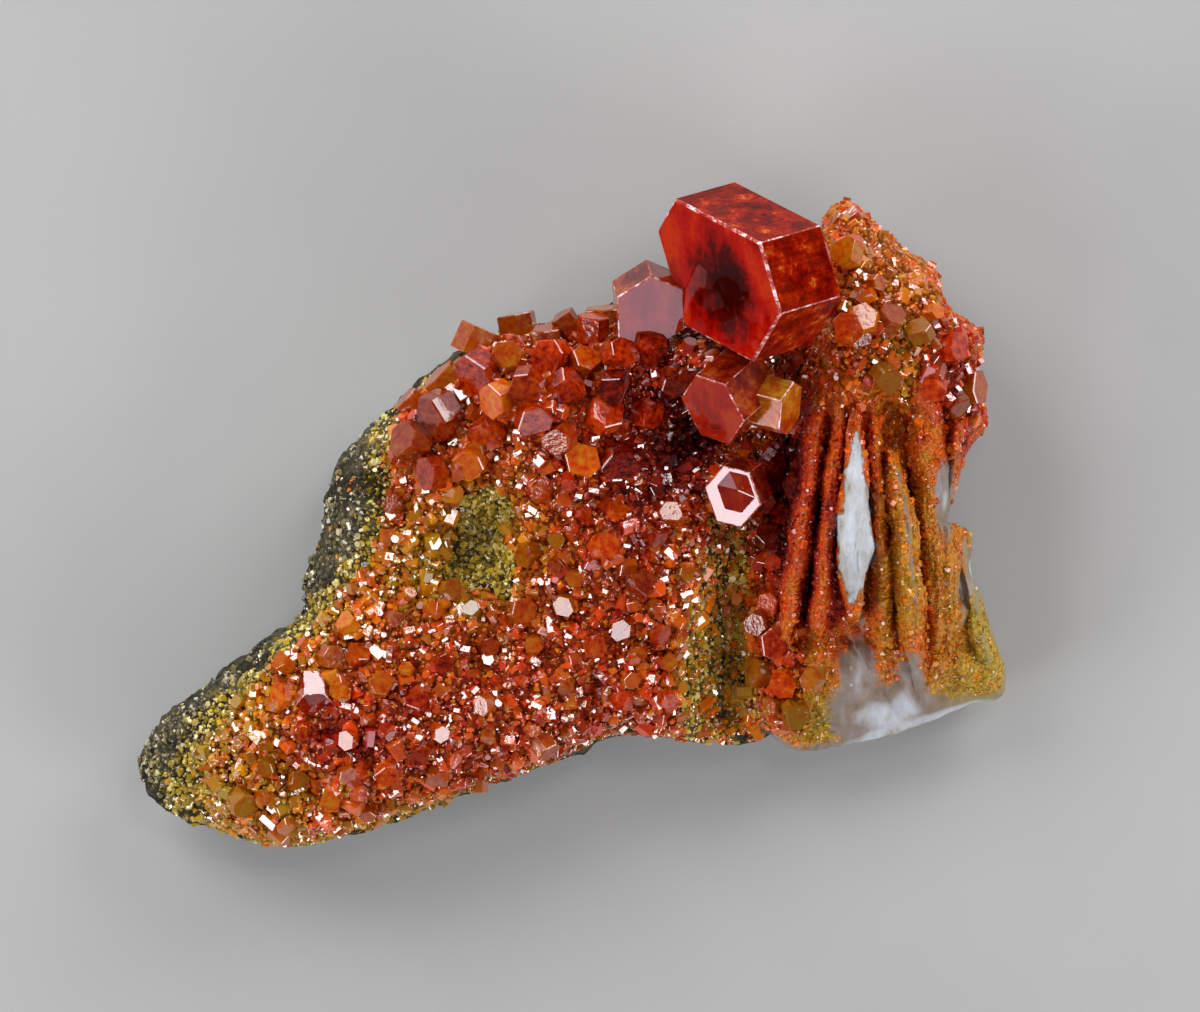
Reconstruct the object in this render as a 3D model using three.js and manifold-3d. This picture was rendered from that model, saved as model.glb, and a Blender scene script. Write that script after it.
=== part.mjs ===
// Vanadinite on matrix: a hand-sized plate of dark rock with a crust of red-orange hexagonal crystals,
// a fan of barite blades along its right end, and a few large vanadinite crystals standing proud.
// Millimetres, +Z up. The specimen lies on its back, crystals up; the origin is at the middle of its
// bounding box, on the surface that it rests on.
import * as THREE from "three";
import { mergeVertices } from "three/addons/utils/BufferGeometryUtils.js";
import Module from "manifold-3d";

const wasm = await Module();
wasm.setup();

const GAP = 0.3; // clearance between pieces that touch
const PIT = [-7.3, -2.2]; // middle of the pit in the crust
const PLATE_HEIGHT = 11; // top of the rock plate, away from its swells and hollows
const ROCK_RIM = 5; // mean height of the rock's widest line
const BARITE_HEIGHT = 8.5; // top of the barite slab, away from the crest and the fins
const BARITE_RIM = 4.8; // mean height of the barite's widest line
const FIN_FOOT = 3.5; // height from which the barite fins rise, inside the slab
const CRUST_THICKNESS = 1.1; // from the rock to the tips of the smallest crystals
const WALL_TOP = 40; // above everything that is cut by an upright outline
const CRUST_FLOOR = 5; // level below the ground from which a crust is built up, before it is cut to it

const { abs, atan2, ceil, cos, exp, floor, hypot, max, min, PI, sin, sqrt } = Math;
const vec = (x, y, z) => new THREE.Vector3(x, y, z);
const mix = (a, b, share) => a + (b - a) * share;

// Outlines seen from above, clockwise, in mm.
const ROCK_OUTLINE = [
  [-35.2, -20.1], [-33.7, -17.4], [-29.7, -13.8], [-25.7, -10.8], [-21.8, -7.6], [-21.7, -5.4],
  [-20.4, -1.8], [-19.7, 2.2], [-17.5, 6.2], [-13.8, 9.4], [-10.5, 12.2], [-7.3, 14.4],
  [-0.9, 15.9], [3.9, 17.2], [8.7, 18.0], [13.9, 19.0], [18.3, 19.6], [20.2, 14.0],
  [19.5, 5.4], [18.6, -6.6], [17.4, -14.0], [15.6, -17.8], [10.7, -18.3], [7.1, -17.7],
  [2.3, -18.0], [-0.9, -19.6], [-8.1, -22.2], [-13.7, -24.4], [-17.7, -25.6], [-23.0, -26.8],
  [-28.5, -25.5], [-32.5, -24.0], [-34.4, -22.2],
];
const CRUST_OUTLINE = [
  [-28.6, -23.4], [-29.0, -19.0], [-26.6, -14.8], [-22.0, -10.4], [-18.6, -6.6], [-15.4, -2.8],
  [-14.6, 2.0], [-14.2, 6.0], [-12.6, 9.2], [-9.6, 11.8], [-6.6, 13.7], [-0.9, 15.0],
  [4.2, 16.4], [7.6, 14.6], [9.6, 10.8], [10.6, 5.8], [11.0, -0.6], [10.2, -5.6],
  [8.8, -10.0], [8.4, -14.0], [8.6, -17.2], [4.8, -17.1], [2.0, -17.2], [-1.2, -18.8],
  [-8.1, -21.3], [-13.7, -23.5], [-17.9, -24.7], [-22.8, -25.8], [-26.6, -25.2],
];
const BARITE_OUTLINE = [
  [13.7, -9.8], [14.6, -4.0], [16.2, 3.4], [17.4, 10.4], [19.2, 16.4], [20.2, 21.4],
  [20.5, 24.4], [22.3, 25.6], [24.7, 23.8], [26.9, 21.8], [29.3, 20.2], [30.4, 17.2],
  [33.2, 14.8], [32.8, 11.4], [33.7, 7.8], [32.0, 5.2], [31.1, 2.2], [30.5, -0.4],
  [32.3, -1.2], [32.4, -4.6], [33.2, -6.4], [34.3, -10.0], [35.2, -12.6], [34.8, -14.6],
  [32.4, -15.2], [28.2, -16.9], [23.9, -18.2], [18.9, -19.0], [17.4, -18.7], [15.8, -17.3],
  [14.4, -13.8],
];
const CREST_OUTLINE = [
  [21.0, 12.4], [20.6, 16.4], [20.9, 21.2], [21.2, 24.0], [22.4, 24.7], [24.2, 23.2],
  [26.4, 21.1], [28.7, 19.4], [29.8, 16.5], [32.3, 14.3], [32.0, 11.4], [32.8, 8.2],
  [31.2, 6.2], [28.4, 7.2], [25.0, 10.0],
];
const FLANK_OUTLINE = [
  [14.4, -7.2], [14.2, -2.6], [14.6, 1.8], [15.6, 6.0], [17.6, 9.6], [18.9, 5.2],
  [17.9, -1.4], [16.9, -7.2], [18.6, -11.6], [20.2, -15.2], [18.8, -17.9], [16.6, -17.0],
  [15.2, -13.8], [14.4, -10.6],
];

// An outline as a smooth closed curve, with the bearing and reach of its points from a centre.
function rimOf(points, centre, steps = 240) {
  const curve = new THREE.CatmullRomCurve3(points.map(([x, y]) => vec(x, y, 0)), true, "centripetal");
  const bearings = [];
  for (let i = 0; i < steps; i++) {
    const p = curve.getPointAt(i / steps);
    bearings.push([atan2(p.y - centre[1], p.x - centre[0]), hypot(p.x - centre[0], p.y - centre[1])]);
  }
  bearings.sort((a, b) => a[0] - b[0]);
  return { curve, centre, bearings };
}

// How far a point lies from the rim's centre, as a share of the way out to the rim: 1 on the rim itself.
function shareOut(rim, x, y) {
  const dx = x - rim.centre[0];
  const dy = y - rim.centre[1];
  const angle = atan2(dy, dx);
  const list = rim.bearings;
  let next = list.findIndex((b) => b[0] > angle);
  if (next < 0) next = 0;
  const before = list[(next + list.length - 1) % list.length];
  const after = list[next];
  const span = (after[0] - before[0] + 2 * PI) % (2 * PI);
  const along = ((angle - before[0] + 2 * PI) % (2 * PI)) / (span || 1);
  return hypot(dx, dy) / mix(before[1], after[1], along);
}

const ROCK = rimOf(ROCK_OUTLINE, [-2.5, -3.4]);
const CRUST = rimOf(CRUST_OUTLINE, [-2.5, -5.4]);
const BARITE = rimOf(BARITE_OUTLINE, [24.2, 1.0]);
const CREST = rimOf(CREST_OUTLINE, [26.6, 14.0]);
const FLANK = rimOf(FLANK_OUTLINE, [16.1, -5.0]);

// A swell (rise above 0) or hollow (below 0) with a bell-shaped section.
const bell = (x, y, [cx, cy], [reachX, reachY], rise) =>
  rise * exp(-(((x - cx) / reachX) ** 2) - ((y - cy) / reachY) ** 2);

// Irregular lumps as a sum of crossing waves, between about -1 and 1.
const lumps = (x, y, wave) =>
  0.5 * sin((6.3 * x) / wave + 1.7 * sin((4.1 * y) / wave)) * sin((5.7 * y) / wave + 0.9) +
  0.3 * sin((9.1 * (x + y)) / wave + 2.1) +
  0.2 * sin((13.7 * (x - 0.6 * y)) / wave + 4.4);

// Broken stone as planes that meet in sharp ridges and creases, between about -1 and 1.
const zigzag = (t) => abs(t - 2 * floor(t / 2) - 1);
const facets = (x, y, wave) =>
  3 * max(
    zigzag((x + 0.4 * y) / wave),
    zigzag((y - 0.55 * x) / wave + 0.7),
    zigzag((x + 1.7 * y) / (1.6 * wave) + 0.3),
  ) - 2.1;

// The rise from a rim to a surface: steep at the rim, level from half way in.
const rounded = (share) => sqrt(max(0, 1 - min(1, share) ** 7));

function rockRelief(x, y) {
  return (
    PLATE_HEIGHT +
    bell(x, y, [-3, 10], [10, 7], 5) +
    bell(x, y, [13, 14], [7, 5.5], 6) +
    bell(x, y, [-34, -20], [11, 9], -3) +
    bell(x, y, [-12, -17], [13, 5], 2) +
    bell(x, y, [4, -4], [8, 8], 2.2) +
    bell(x, y, [-18.5, 1.5], [3.4, 7], 1.6) +
    bell(x, y, [-31, -18], [3.6, 3], 1.6) +
    bell(x, y, PIT, [2.9, 4.2], -3) +
    bell(x, y, [9, 6.6], [3.4, 3], -3) +
    bell(x, y, [12.6, -8], [2.6, 6], -5) +
    bell(x, y, [12.6, -16], [3.4, 5], -5) +
    bell(x, y, [20.5, -6], [4.6, 15], -4.6) +
    0.6 * lumps(x, y, 11) +
    0.55 * facets(x, y, 4.6)
  );
}

function bariteRelief(x, y) {
  return (
    BARITE_HEIGHT +
    bell(x, y, [22, 24], [5, 7], 7.2) +
    bell(x, y, [29.5, 15], [5.5, 7], 7) +
    bell(x, y, [20.5, 13], [4.5, 7], 6.5) +
    bell(x, y, [23, 3], [7, 10], 3.4) +
    bell(x, y, [26, -20], [14, 6], -2) +
    bell(x, y, [24.5, -13], [4, 2.6], 1.2) +
    0.45 * facets(x, y, 3.8)
  );
}

const rockRim = (x, y) => ROCK_RIM + 0.7 * facets(x, y, 6.1);
const bariteRim = (x, y) => BARITE_RIM + 0.6 * facets(x, y, 5.2);
const rockTop = (x, y) => mix(rockRim(x, y), rockRelief(x, y), rounded(shareOut(ROCK, x, y)));
const bariteTop = (x, y) => mix(bariteRim(x, y), bariteRelief(x, y), rounded(shareOut(BARITE, x, y)));
const ground = (x, y) =>
  max(
    shareOut(ROCK, x, y) < 1 ? rockTop(x, y) : 0,
    shareOut(BARITE, x, y) < 1 ? bariteTop(x, y) : 0,
  );

// The rock's and the barite's undersides are rough, with low places broken flat that it rests on. The
// widest of these is under the middle of the plate.
const REST = [-6, -6];
const underside = (x, y) =>
  max(0, 1.2 * lumps(x + 3, y, 15) + 0.6 * facets(x, y, 6.7) + 0.3 - bell(x, y, REST, [8, 7], 4));

// A boolean solid of a closed geometry.
function solidOf(geometry, matrix = new THREE.Matrix4()) {
  const bare = geometry.clone().applyMatrix4(matrix);
  bare.deleteAttribute("normal");
  bare.deleteAttribute("uv");
  const merged = mergeVertices(bare, 1e-4);
  return new wasm.Manifold(
    new wasm.Mesh({
      numProp: 3,
      vertProperties: new Float32Array(merged.attributes.position.array),
      triVerts: new Uint32Array(merged.index.array),
    }),
  );
}

function geometryOf(solid) {
  const mesh = solid.getMesh();
  const geometry = new THREE.BufferGeometry();
  geometry.setAttribute("position", new THREE.BufferAttribute(new Float32Array(mesh.vertProperties), 3));
  geometry.setIndex(new THREE.BufferAttribute(new Uint32Array(mesh.triVerts), 1));
  return geometry;
}

function geometryFrom(points, triangles) {
  const geometry = new THREE.BufferGeometry();
  geometry.setAttribute("position", new THREE.Float32BufferAttribute(points.flat(), 3));
  geometry.setIndex(triangles);
  return geometry;
}

// The largest body of a cut solid; crumbs that the cut set loose are dropped.
const largest = (solid) =>
  solid.decompose().reduce((best, body) => (body.volume() > best.volume() ? body : best));

// A closed shell between a top and a base surface. Both are swept out from the centre along spokes,
// and meet on the outline at the rim's height.
function shell({ rim, spokes, rings, baseRings, top, base, rimHeight, grow = 0 }) {
  const [cx, cy] = rim.centre;
  const rimPoints = [];
  for (let i = 0; i < spokes; i++) {
    const p = rim.curve.getPointAt(i / spokes);
    const reach = hypot(p.x - cx, p.y - cy);
    rimPoints.push([cx + (p.x - cx) * (1 + grow / reach), cy + (p.y - cy) * (1 + grow / reach), p.x, p.y]);
  }
  const points = [[cx, cy, top(cx, cy) + grow]];
  const addRing = (share, height) => {
    const start = points.length;
    for (const [grownX, grownY, rimX, rimY] of rimPoints) {
      const [x, y] = share < 1 ? [mix(cx, rimX, share), mix(cy, rimY, share)] : [grownX, grownY];
      points.push([x, y, height(x, y)]);
    }
    return start;
  };
  const levels = [
    ...rings.map((s) => addRing(s, (x, y) => mix(rimHeight(x, y), top(x, y), rounded(s)) + grow)),
    addRing(1, (x, y) => rimHeight(x, y)),
    ...[...baseRings].reverse().map((s) =>
      addRing(s, (x, y) => mix(rimHeight(x, y), base(x, y), rounded(s)) - grow)),
  ];
  const last = points.push([cx, cy, base(cx, cy) - grow]) - 1;
  const triangles = [];
  for (let i = 0; i < spokes; i++) {
    const j = (i + 1) % spokes;
    triangles.push(0, levels[0] + j, levels[0] + i);
    for (let k = 0; k + 1 < levels.length; k++) {
      const [a, b] = [levels[k], levels[k + 1]];
      triangles.push(a + i, a + j, b + i, a + j, b + j, b + i);
    }
    const end = levels[levels.length - 1];
    triangles.push(end + i, end + j, last);
  }
  return solidOf(geometryFrom(points, triangles));
}

const rockShell = (grow) =>
  shell({
    rim: ROCK, spokes: 42, rings: [0.24, 0.46, 0.66, 0.83, 0.95], baseRings: [0.3, 0.62, 0.92],
    top: rockRelief, base: underside, rimHeight: rockRim, grow,
  });
const bariteShell = (grow) =>
  shell({
    rim: BARITE, spokes: 34, rings: [0.4, 0.7, 0.92], baseRings: [0.55, 0.92],
    top: bariteRelief, base: underside, rimHeight: bariteRim, grow,
  });

// The height of the crust between its crystals: thicker in the cluster of larger ones, and uneven.
const crustTop = (x, y) =>
  ground(x, y) + CRUST_THICKNESS + bell(x, y, [-3, 10], [10, 6.5], 0.9) + 0.25 * lumps(x, y, 3.3);

// The body of a crust: upright walls on its outline, a level floor inside the ground, and on top the
// crust's surface over staggered rows of points that are each shifted a little.
function crustBody(outline, step) {
  const reachX = outline.map(([x]) => x);
  const reachY = outline.map(([, y]) => y);
  const [left, low] = [min(...reachX) - step, min(...reachY) - step];
  const columns = ceil((max(...reachX) - left) / step) + 1;
  const rows = ceil((max(...reachY) - low) / step) + 1;
  const top = [];
  for (let row = 0; row <= rows; row++) {
    for (let column = 0; column <= columns; column++) {
      const i = row * (columns + 1) + column;
      const x = left + (column + 0.5 * (row % 2) + 0.5 * (chance(i, 9) - 0.5)) * step;
      const y = low + (row + 0.5 * (chance(i, 10) - 0.5)) * step;
      top.push([x, y, max(CRUST_FLOOR + 1, crustTop(x, y))]);
    }
  }
  const count = top.length;
  const triangles = [];
  const across = (a, b, c) => triangles.push(a, b, c, a + count, c + count, b + count);
  const wall = (a, b) => triangles.push(a, a + count, b, b, a + count, b + count);
  for (let row = 0; row < rows; row++) {
    for (let column = 0; column < columns; column++) {
      const a = row * (columns + 1) + column;
      const [b, c, d] = [a + 1, a + columns + 2, a + columns + 1];
      across(a, b, row % 2 ? c : d);
      across(row % 2 ? a : b, c, d);
      if (row === 0) wall(a, b);
      if (row === rows - 1) wall(c, d);
      if (column === 0) wall(d, a);
      if (column === columns - 1) wall(b, c);
    }
  }
  const points = [...top, ...top.map(([x, y]) => [x, y, CRUST_FLOOR])];
  const sides = new THREE.Shape(outline.map(([x, y]) => new THREE.Vector2(x, y)));
  const walls = new THREE.ExtrudeGeometry(sides, { depth: WALL_TOP, bevelEnabled: false });
  return solidOf(geometryFrom(points, triangles)).intersect(solidOf(walls));
}

// A vanadinite crystal: a six-sided prism with its outer end face at the origin, looking along +Z.
// Each of the six side faces has its own distance from the axis, as crystals that grew unevenly have,
// and the rims of both ends are bevelled.
function prism({ faces, length, bevel = 0, grow = 0 }) {
  const distances = (Array.isArray(faces) ? faces : Array(6).fill(faces)).map((d) => d + grow);
  const corners = (inset) =>
    distances.map((d, i) => {
      const angle = (i * PI) / 3;
      const here = d - inset;
      const next = distances[(i + 1) % 6] - inset;
      const slide = (next - here * cos(PI / 3)) / sin(PI / 3);
      return [here * cos(angle) - slide * sin(angle), here * sin(angle) + slide * cos(angle)];
    });
  const ends = bevel > 0
    ? [[0, bevel], [-bevel, 0], [bevel - length, 0], [-length, bevel]]
    : [[0, 0], [-length, 0]];
  const points = ends.flatMap(([z, inset], k) =>
    corners(inset).map(([x, y]) => [x, y, z + (k < ends.length / 2 ? grow : -grow)]));
  const triangles = [];
  const foot = points.length - 6;
  for (let i = 1; i < 5; i++) {
    triangles.push(0, i, i + 1, foot, foot + i + 1, foot + i);
  }
  for (let ring = 0; ring < foot; ring += 6) {
    for (let i = 0; i < 6; i++) {
      const j = (i + 1) % 6;
      triangles.push(ring + i, ring + 6 + i, ring + j, ring + j, ring + 6 + i, ring + 6 + j);
    }
  }
  return geometryFrom(points, triangles);
}

// The matrix that sets a crystal's end face at a point, looking along a direction, turned about it.
function placed({ at, facing, spin = 0 }) {
  const turn = new THREE.Quaternion().setFromUnitVectors(vec(0, 0, 1), vec(...facing).normalize());
  turn.multiply(new THREE.Quaternion().setFromAxisAngle(vec(0, 0, 1), (spin * PI) / 180));
  return new THREE.Matrix4().compose(vec(...at), turn, vec(1, 1, 1));
}

const crystalSolid = (crystal, grow = 0) => solidOf(prism({ ...crystal, grow }), placed(crystal));

// The large crystals, each in its own place: the centre of the end face that shows, and the way it looks.
const LARGE = { at: [11.6, 18.7, 21.6], facing: [-0.782, -0.245, 0.573], spin: -44.6,
  faces: [6.7, 6.5, 4.8, 7.4, 6.1, 5.5], length: 6.9, bevel: 0.18 };
const TILE = { at: [6.3, 16.1, 17.2], facing: [0.13, -0.48, 0.87], spin: 4,
  faces: [2.7, 3.0, 2.8, 2.6, 3.1, 2.8], length: 3.0, bevel: 0.1 };
const STEPPED = { at: [11.2, 8.4, 18.6], facing: [-0.56, -0.5, 0.66], spin: 22,
  faces: [2.6, 2.9, 2.7, 2.5, 2.8, 2.6], length: 5.2, bevel: 0.1 };
const STEPPED_SIDE = { at: [17.4, 8.6, 17.8], facing: [0.86, -0.24, 0.45], spin: 8,
  faces: [1.7, 2.0, 1.8, 1.7, 2.0, 1.9], length: 5.6, bevel: 0.1 };
const WINDOW = { at: [12.9, 1.6, 14.6], facing: [-0.3, -0.22, 0.93], spin: 18,
  faces: [2.0, 2.3, 2.2, 2.0, 2.3, 2.1], length: 3.6, bevel: 0.1 };
const LONE = { at: [-20.5, -15.0, 12.9], facing: [0.05, -0.72, 0.69], spin: 30,
  faces: [1.35, 1.25, 1.3, 1.35, 1.25, 1.3], length: 2.6, bevel: 0.06 };

const ROOT = 0.6; // how deep a small crystal's foot lies in the crust
const LATTICE_HALF = 34; // half the width of the lattice that the small crystals are spread on
const ROW = sqrt(3) / 2; // distance between the lattice's rows, as a share of its spacing

// A repeatable number from 0 to 1 for crystal i and purpose k.
const chance = (i, k) => {
  const wide = sin(i * 12.9898 + k * 78.233) * 43758.5453;
  return wide - floor(wide);
};

// The slope of a surface as an upright direction.
function uprightOf(height, x, y) {
  const step = 0.6;
  return vec(
    (height(x - step, y) - height(x + step, y)) / (2 * step),
    (height(x, y - step) - height(x, y + step)) / (2 * step),
    1,
  ).normalize();
}

// A crystal that stands out of the crust above (x, y), leaning off the surface's slope along a bearing.
function rooted({ x, y, size, stand, bearing, lean, spin }) {
  const up = uprightOf(ground, x, y);
  const facing = up.add(vec(cos(bearing) * lean, sin(bearing) * lean, 0)).normalize();
  const foot = crustTop(x, y) - ROOT;
  return {
    at: [x + facing.x * stand, y + facing.y * stand, foot + facing.z * (stand + ROOT)],
    facing: facing.toArray(), spin, faces: size, length: stand + ROOT,
  };
}

// Crystals on a staggered, jittered lattice inside a rim. Each leans its own way, and its side faces
// lie between the smallest and largest radius from its axis.
function scattered({ rim, spacing, reach, radius, proud, lean, skip = () => false, seed }) {
  const found = [];
  const [cx, cy] = rim.centre;
  const rows = floor((2 * LATTICE_HALF) / (spacing * ROW));
  const columns = floor((2 * LATTICE_HALF) / spacing);
  for (let row = 0; row < rows; row++) {
    for (let column = 0; column < columns; column++) {
      const i = seed + row * columns + column;
      const x = cx - LATTICE_HALF + (column + 0.5 * (row % 2) + 0.7 * (chance(i, 1) - 0.5)) * spacing;
      const y = cy - LATTICE_HALF + (row * ROW + 0.7 * (chance(i, 2) - 0.5)) * spacing;
      if (shareOut(rim, x, y) > reach || skip(x, y)) continue;
      const size = mix(radius[0], radius[1], chance(i, 5));
      found.push(rooted({
        x, y, size, stand: size * mix(proud[0], proud[1], chance(i, 6)),
        bearing: 2 * PI * chance(i, 3), lean: lean * sqrt(chance(i, 4)), spin: 60 * chance(i, 7),
      }));
    }
  }
  return found;
}

// The larger crystals of the upper cluster: place, distance of the side faces from the axis, how far the
// crystal stands out, the bearing that it leans to in degrees, and how much it leans.
const CLUSTER = [
  [-7.8, 13.6, 1.5, 1.7, 42, 1.5], [-4.2, 15.0, 1.3, 1.4, 110, 0.7], [0.0, 15.0, 1.0, 1.5, 150, 0.7],
  [1.6, 14.6, 1.1, 1.5, 70, 1.3], [2.6, 15.8, 1.3, 1.0, 80, 0.9], [-7.2, 11.6, 1.6, 1.3, 280, 0.9],
  [-10.0, 8.2, 1.75, 1.5, 210, 0.8], [-12.6, 6.0, 1.5, 1.2, 170, 1.1], [-1.4, 12.6, 1.35, 1.4, 240, 0.8],
  [3.9, 12.8, 1.15, 1.3, 340, 0.7], [3.6, 10.6, 1.1, 1.2, 270, 0.4], [0.8, 4.4, 1.25, 1.2, 100, 0.6],
  [3.7, 4.5, 1.5, 0.9, 300, 0.5], [6.0, 8.4, 1.15, 1.0, 330, 0.6], [1.0, 12.2, 1.1, 1.0, 20, 0.6],
  [-3.5, 10.5, 1.25, 1.2, 250, 1.0], [-10.2, 10.8, 1.3, 0.9, 140, 0.9], [-5.6, 9.4, 1.3, 1.1, 190, 0.5],
  [-3.0, 7.9, 1.3, 0.9, 330, 0.4], [2.6, 8.0, 1.4, 0.9, 60, 0.5], [-6.4, 6.9, 1.3, 1.0, 260, 0.6],
  [-8.0, 4.6, 1.3, 0.9, 230, 0.6], [-11.0, 3.6, 1.2, 0.9, 190, 0.7], [-1.9, 14.4, 1.3, 0.8, 90, 0.5],
  [-5.0, 12.6, 1.2, 1.0, 300, 0.6], [-0.6, 10.2, 1.2, 1.2, 10, 0.7], [-0.9, 6.3, 1.1, 0.9, 200, 0.5],
  [-12.9, 9.0, 1.1, 0.8, 150, 0.8], [6.4, 13.4, 1.2, 1.1, 40, 0.6], [8.0, 10.9, 1.1, 0.9, 350, 0.7],
].map(([x, y, size, stand, bearing, lean], i) =>
  rooted({ x, y, size, stand, bearing: (bearing * PI) / 180, lean, spin: 60 * chance(i, 8) }));

const inPit = (x, y) => hypot((x - PIT[0]) / 3.4, (y - PIT[1]) / 4.6) < 1;
const inCluster = (x, y) => y > 2.6 && y < 16 && x < 8.4 && x > -13.4;
const nearLarge = (x, y) => hypot(x - 14.5, y - 18) < 6 || hypot(x - 12.4, y - 1.6) < 2.6;

const crustCrystals = scattered({
  rim: CRUST, spacing: 3.6, reach: 0.97, radius: [0.5, 1.0], proud: [0.4, 1.1], lean: 0.8, seed: 11,
  skip: (x, y) => inPit(x, y) || inCluster(x, y) || nearLarge(x, y),
});
const crestCrystals = scattered({
  rim: CREST, spacing: 3.0, reach: 0.97, radius: [0.6, 1.35], proud: [0.4, 1.0], lean: 0.8, seed: 901,
});
const flankCrystals = scattered({
  rim: FLANK, spacing: 2.5, reach: 0.95, radius: [0.6, 1.15], proud: [0.4, 1.0], lean: 0.7, seed: 1801,
});

// A barite fin: a blade that grew on edge, in stations [x, y, height of its ridge, half thickness]
// down the fan. Its sides draw in to the ridge, which is sharp, or flat where the blade is broken.
function fin({ stations, ridge = 0.25 }) {
  const points = stations.flatMap(([x, y, height, half], k) => {
    const [fromX, fromY] = stations[max(0, k - 1)];
    const [toX, toY] = stations[min(stations.length - 1, k + 1)];
    const run = hypot(toX - fromX, toY - fromY);
    const [sideX, sideY] = [(toY - fromY) / run, (fromX - toX) / run];
    const corner = (offset, z) => [x + sideX * offset * half, y + sideY * offset * half, z];
    const shoulder = height - 2;
    return [
      corner(-1.5, FIN_FOOT), corner(1.5, FIN_FOOT), corner(1, shoulder),
      corner(ridge, height), corner(-ridge, height), corner(-1, shoulder),
    ];
  });
  const triangles = [];
  const end = points.length - 6;
  for (let i = 1; i < 5; i++) {
    triangles.push(0, i, i + 1, end, end + i + 1, end + i);
  }
  for (let ring = 0; ring < end; ring += 6) {
    for (let i = 0; i < 6; i++) {
      const j = (i + 1) % 6;
      triangles.push(ring + i, ring + 6 + i, ring + j, ring + j, ring + 6 + i, ring + 6 + j);
    }
  }
  return solidOf(geometryFrom(points, triangles));
}

// The fins fan out from the crest. The third is the broad one that is broken off level.
const FINS = [
  { stations: [[20.2, 13, 16.2, 0.8], [19.2, 5, 16.4, 1.0], [18.2, -3, 15.2, 1.0], [17.2, -10, 10.5, 0.8]] },
  { stations: [[21.5, 10.5, 16.2, 0.7], [20.9, 3, 16.8, 0.9], [20.3, -4, 15.8, 0.9], [19.8, -9, 11.6, 0.8]] },
  { stations: [[22.6, 8.6, 16.4, 0.4], [22.5, 3, 18.2, 1.1], [22.5, -2.6, 18, 1.5], [22.5, -7.8, 14.6, 0.5]],
    ridge: 0.85 },
  { stations: [[24.0, 8, 15.2, 0.6], [24.3, 2.5, 16.2, 0.8], [24.8, -4, 15, 0.9], [25.2, -10.4, 10.5, 0.9]] },
  { stations: [[25.3, 5.4, 15.2, 0.6], [26.2, 1, 17.2, 1.1], [27.0, -6, 14.8, 1.2], [28.0, -14, 8.8, 1.0]] },
  { stations: [[28.0, 11, 15.4, 1.2], [28.7, 4, 15, 1.6], [29.4, -3, 13, 1.7], [30.0, -12, 8.6, 1.5]],
    ridge: 0.5 },
  { stations: [[30.9, 7.4, 14.6, 0.5], [30.6, 2.4, 14.4, 0.7], [30.2, -1.6, 11.5, 0.5]] },
  { stations: [[31.4, -1.6, 8.8, 0.5], [32, -5, 10.2, 0.8], [32.9, -9.6, 9, 1.0], [33.7, -13.2, 7, 0.6]],
    ridge: 0.4 },
];

const rockCutter = rockShell(GAP);
const bariteCutter = bariteShell(GAP);
const LARGE_ONES = [LARGE, TILE, STEPPED, STEPPED_SIDE, WINDOW, LONE];
const sockets = LARGE_ONES.map((crystal) => crystalSolid(crystal, GAP));
const cutFor = (solid) => sockets.reduce((left, socket) => left.subtract(socket), solid);
const joined = (solids) => solids.reduce((sum, solid) => sum.add(solid));

const finSolids = FINS.map(fin);
const rockSolid = largest(cutFor(rockShell(0)));
const bariteSolid = largest(cutFor(joined([bariteShell(0), ...finSolids]).subtract(rockCutter)));

// The pit in the crust bares the rock: the crust is cut by an upright plug of its ragged outline.
const PIT_OUTLINE = [
  [-9.6, 1.4], [-8.9, -1.9], [-10.3, -3.6], [-9.2, -6.1], [-6.9, -5.4], [-5.2, -6.4], [-4.5, -3.2],
  [-5.3, -1.5], [-4.2, 0.9], [-6.1, 2.7], [-7.9, 1.8],
];
const pitPlug = solidOf(
  new THREE.ExtrudeGeometry(new THREE.Shape(PIT_OUTLINE.map(([x, y]) => new THREE.Vector2(x, y))), {
    depth: WALL_TOP, bevelEnabled: false,
  }),
);

function crustSolid(outline, step, crystals, cutters) {
  const body = joined([crustBody(outline, step), ...crystals.map((c) => crystalSolid(c))]);
  return largest(cutFor(cutters.reduce((left, cutter) => left.subtract(cutter), body)));
}
const finCutters = FINS.map(({ stations, ridge }) =>
  fin({ stations: stations.map(([x, y, height, half]) => [x, y, height + GAP, half + GAP]), ridge }));
const mainCrust = crustSolid(CRUST_OUTLINE, 3.2, [...CLUSTER, ...crustCrystals], [rockCutter, pitPlug]);
const bariteCutters = [rockCutter, bariteCutter, ...finCutters];
const flankCrust = crustSolid(FLANK_OUTLINE, 2.4, flankCrystals, bariteCutters);
const crestCrust = crustSolid(CREST_OUTLINE, 2.6, crestCrystals, bariteCutters);

const MATERIALS = {
  rock: new THREE.MeshStandardMaterial({ color: 0x5d5238, roughness: 0.9, metalness: 0 }),
  barite: new THREE.MeshStandardMaterial({ color: 0xd9c7a8, roughness: 0.5, metalness: 0 }),
  crust: new THREE.MeshStandardMaterial({ color: 0xc2410c, roughness: 0.25, metalness: 0 }),
  crystal: new THREE.MeshStandardMaterial({ color: 0xa81205, roughness: 0.12, metalness: 0 }),
};

const specimen = new THREE.Group();

function addSolid(name, solid, material) {
  const mesh = new THREE.Mesh(geometryOf(solid), material);
  mesh.name = name;
  specimen.add(mesh);
}

function addCrystal(name, crystal) {
  const mesh = new THREE.Mesh(prism(crystal), MATERIALS.crystal);
  mesh.name = name;
  mesh.applyMatrix4(placed(crystal));
  specimen.add(mesh);
}

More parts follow.
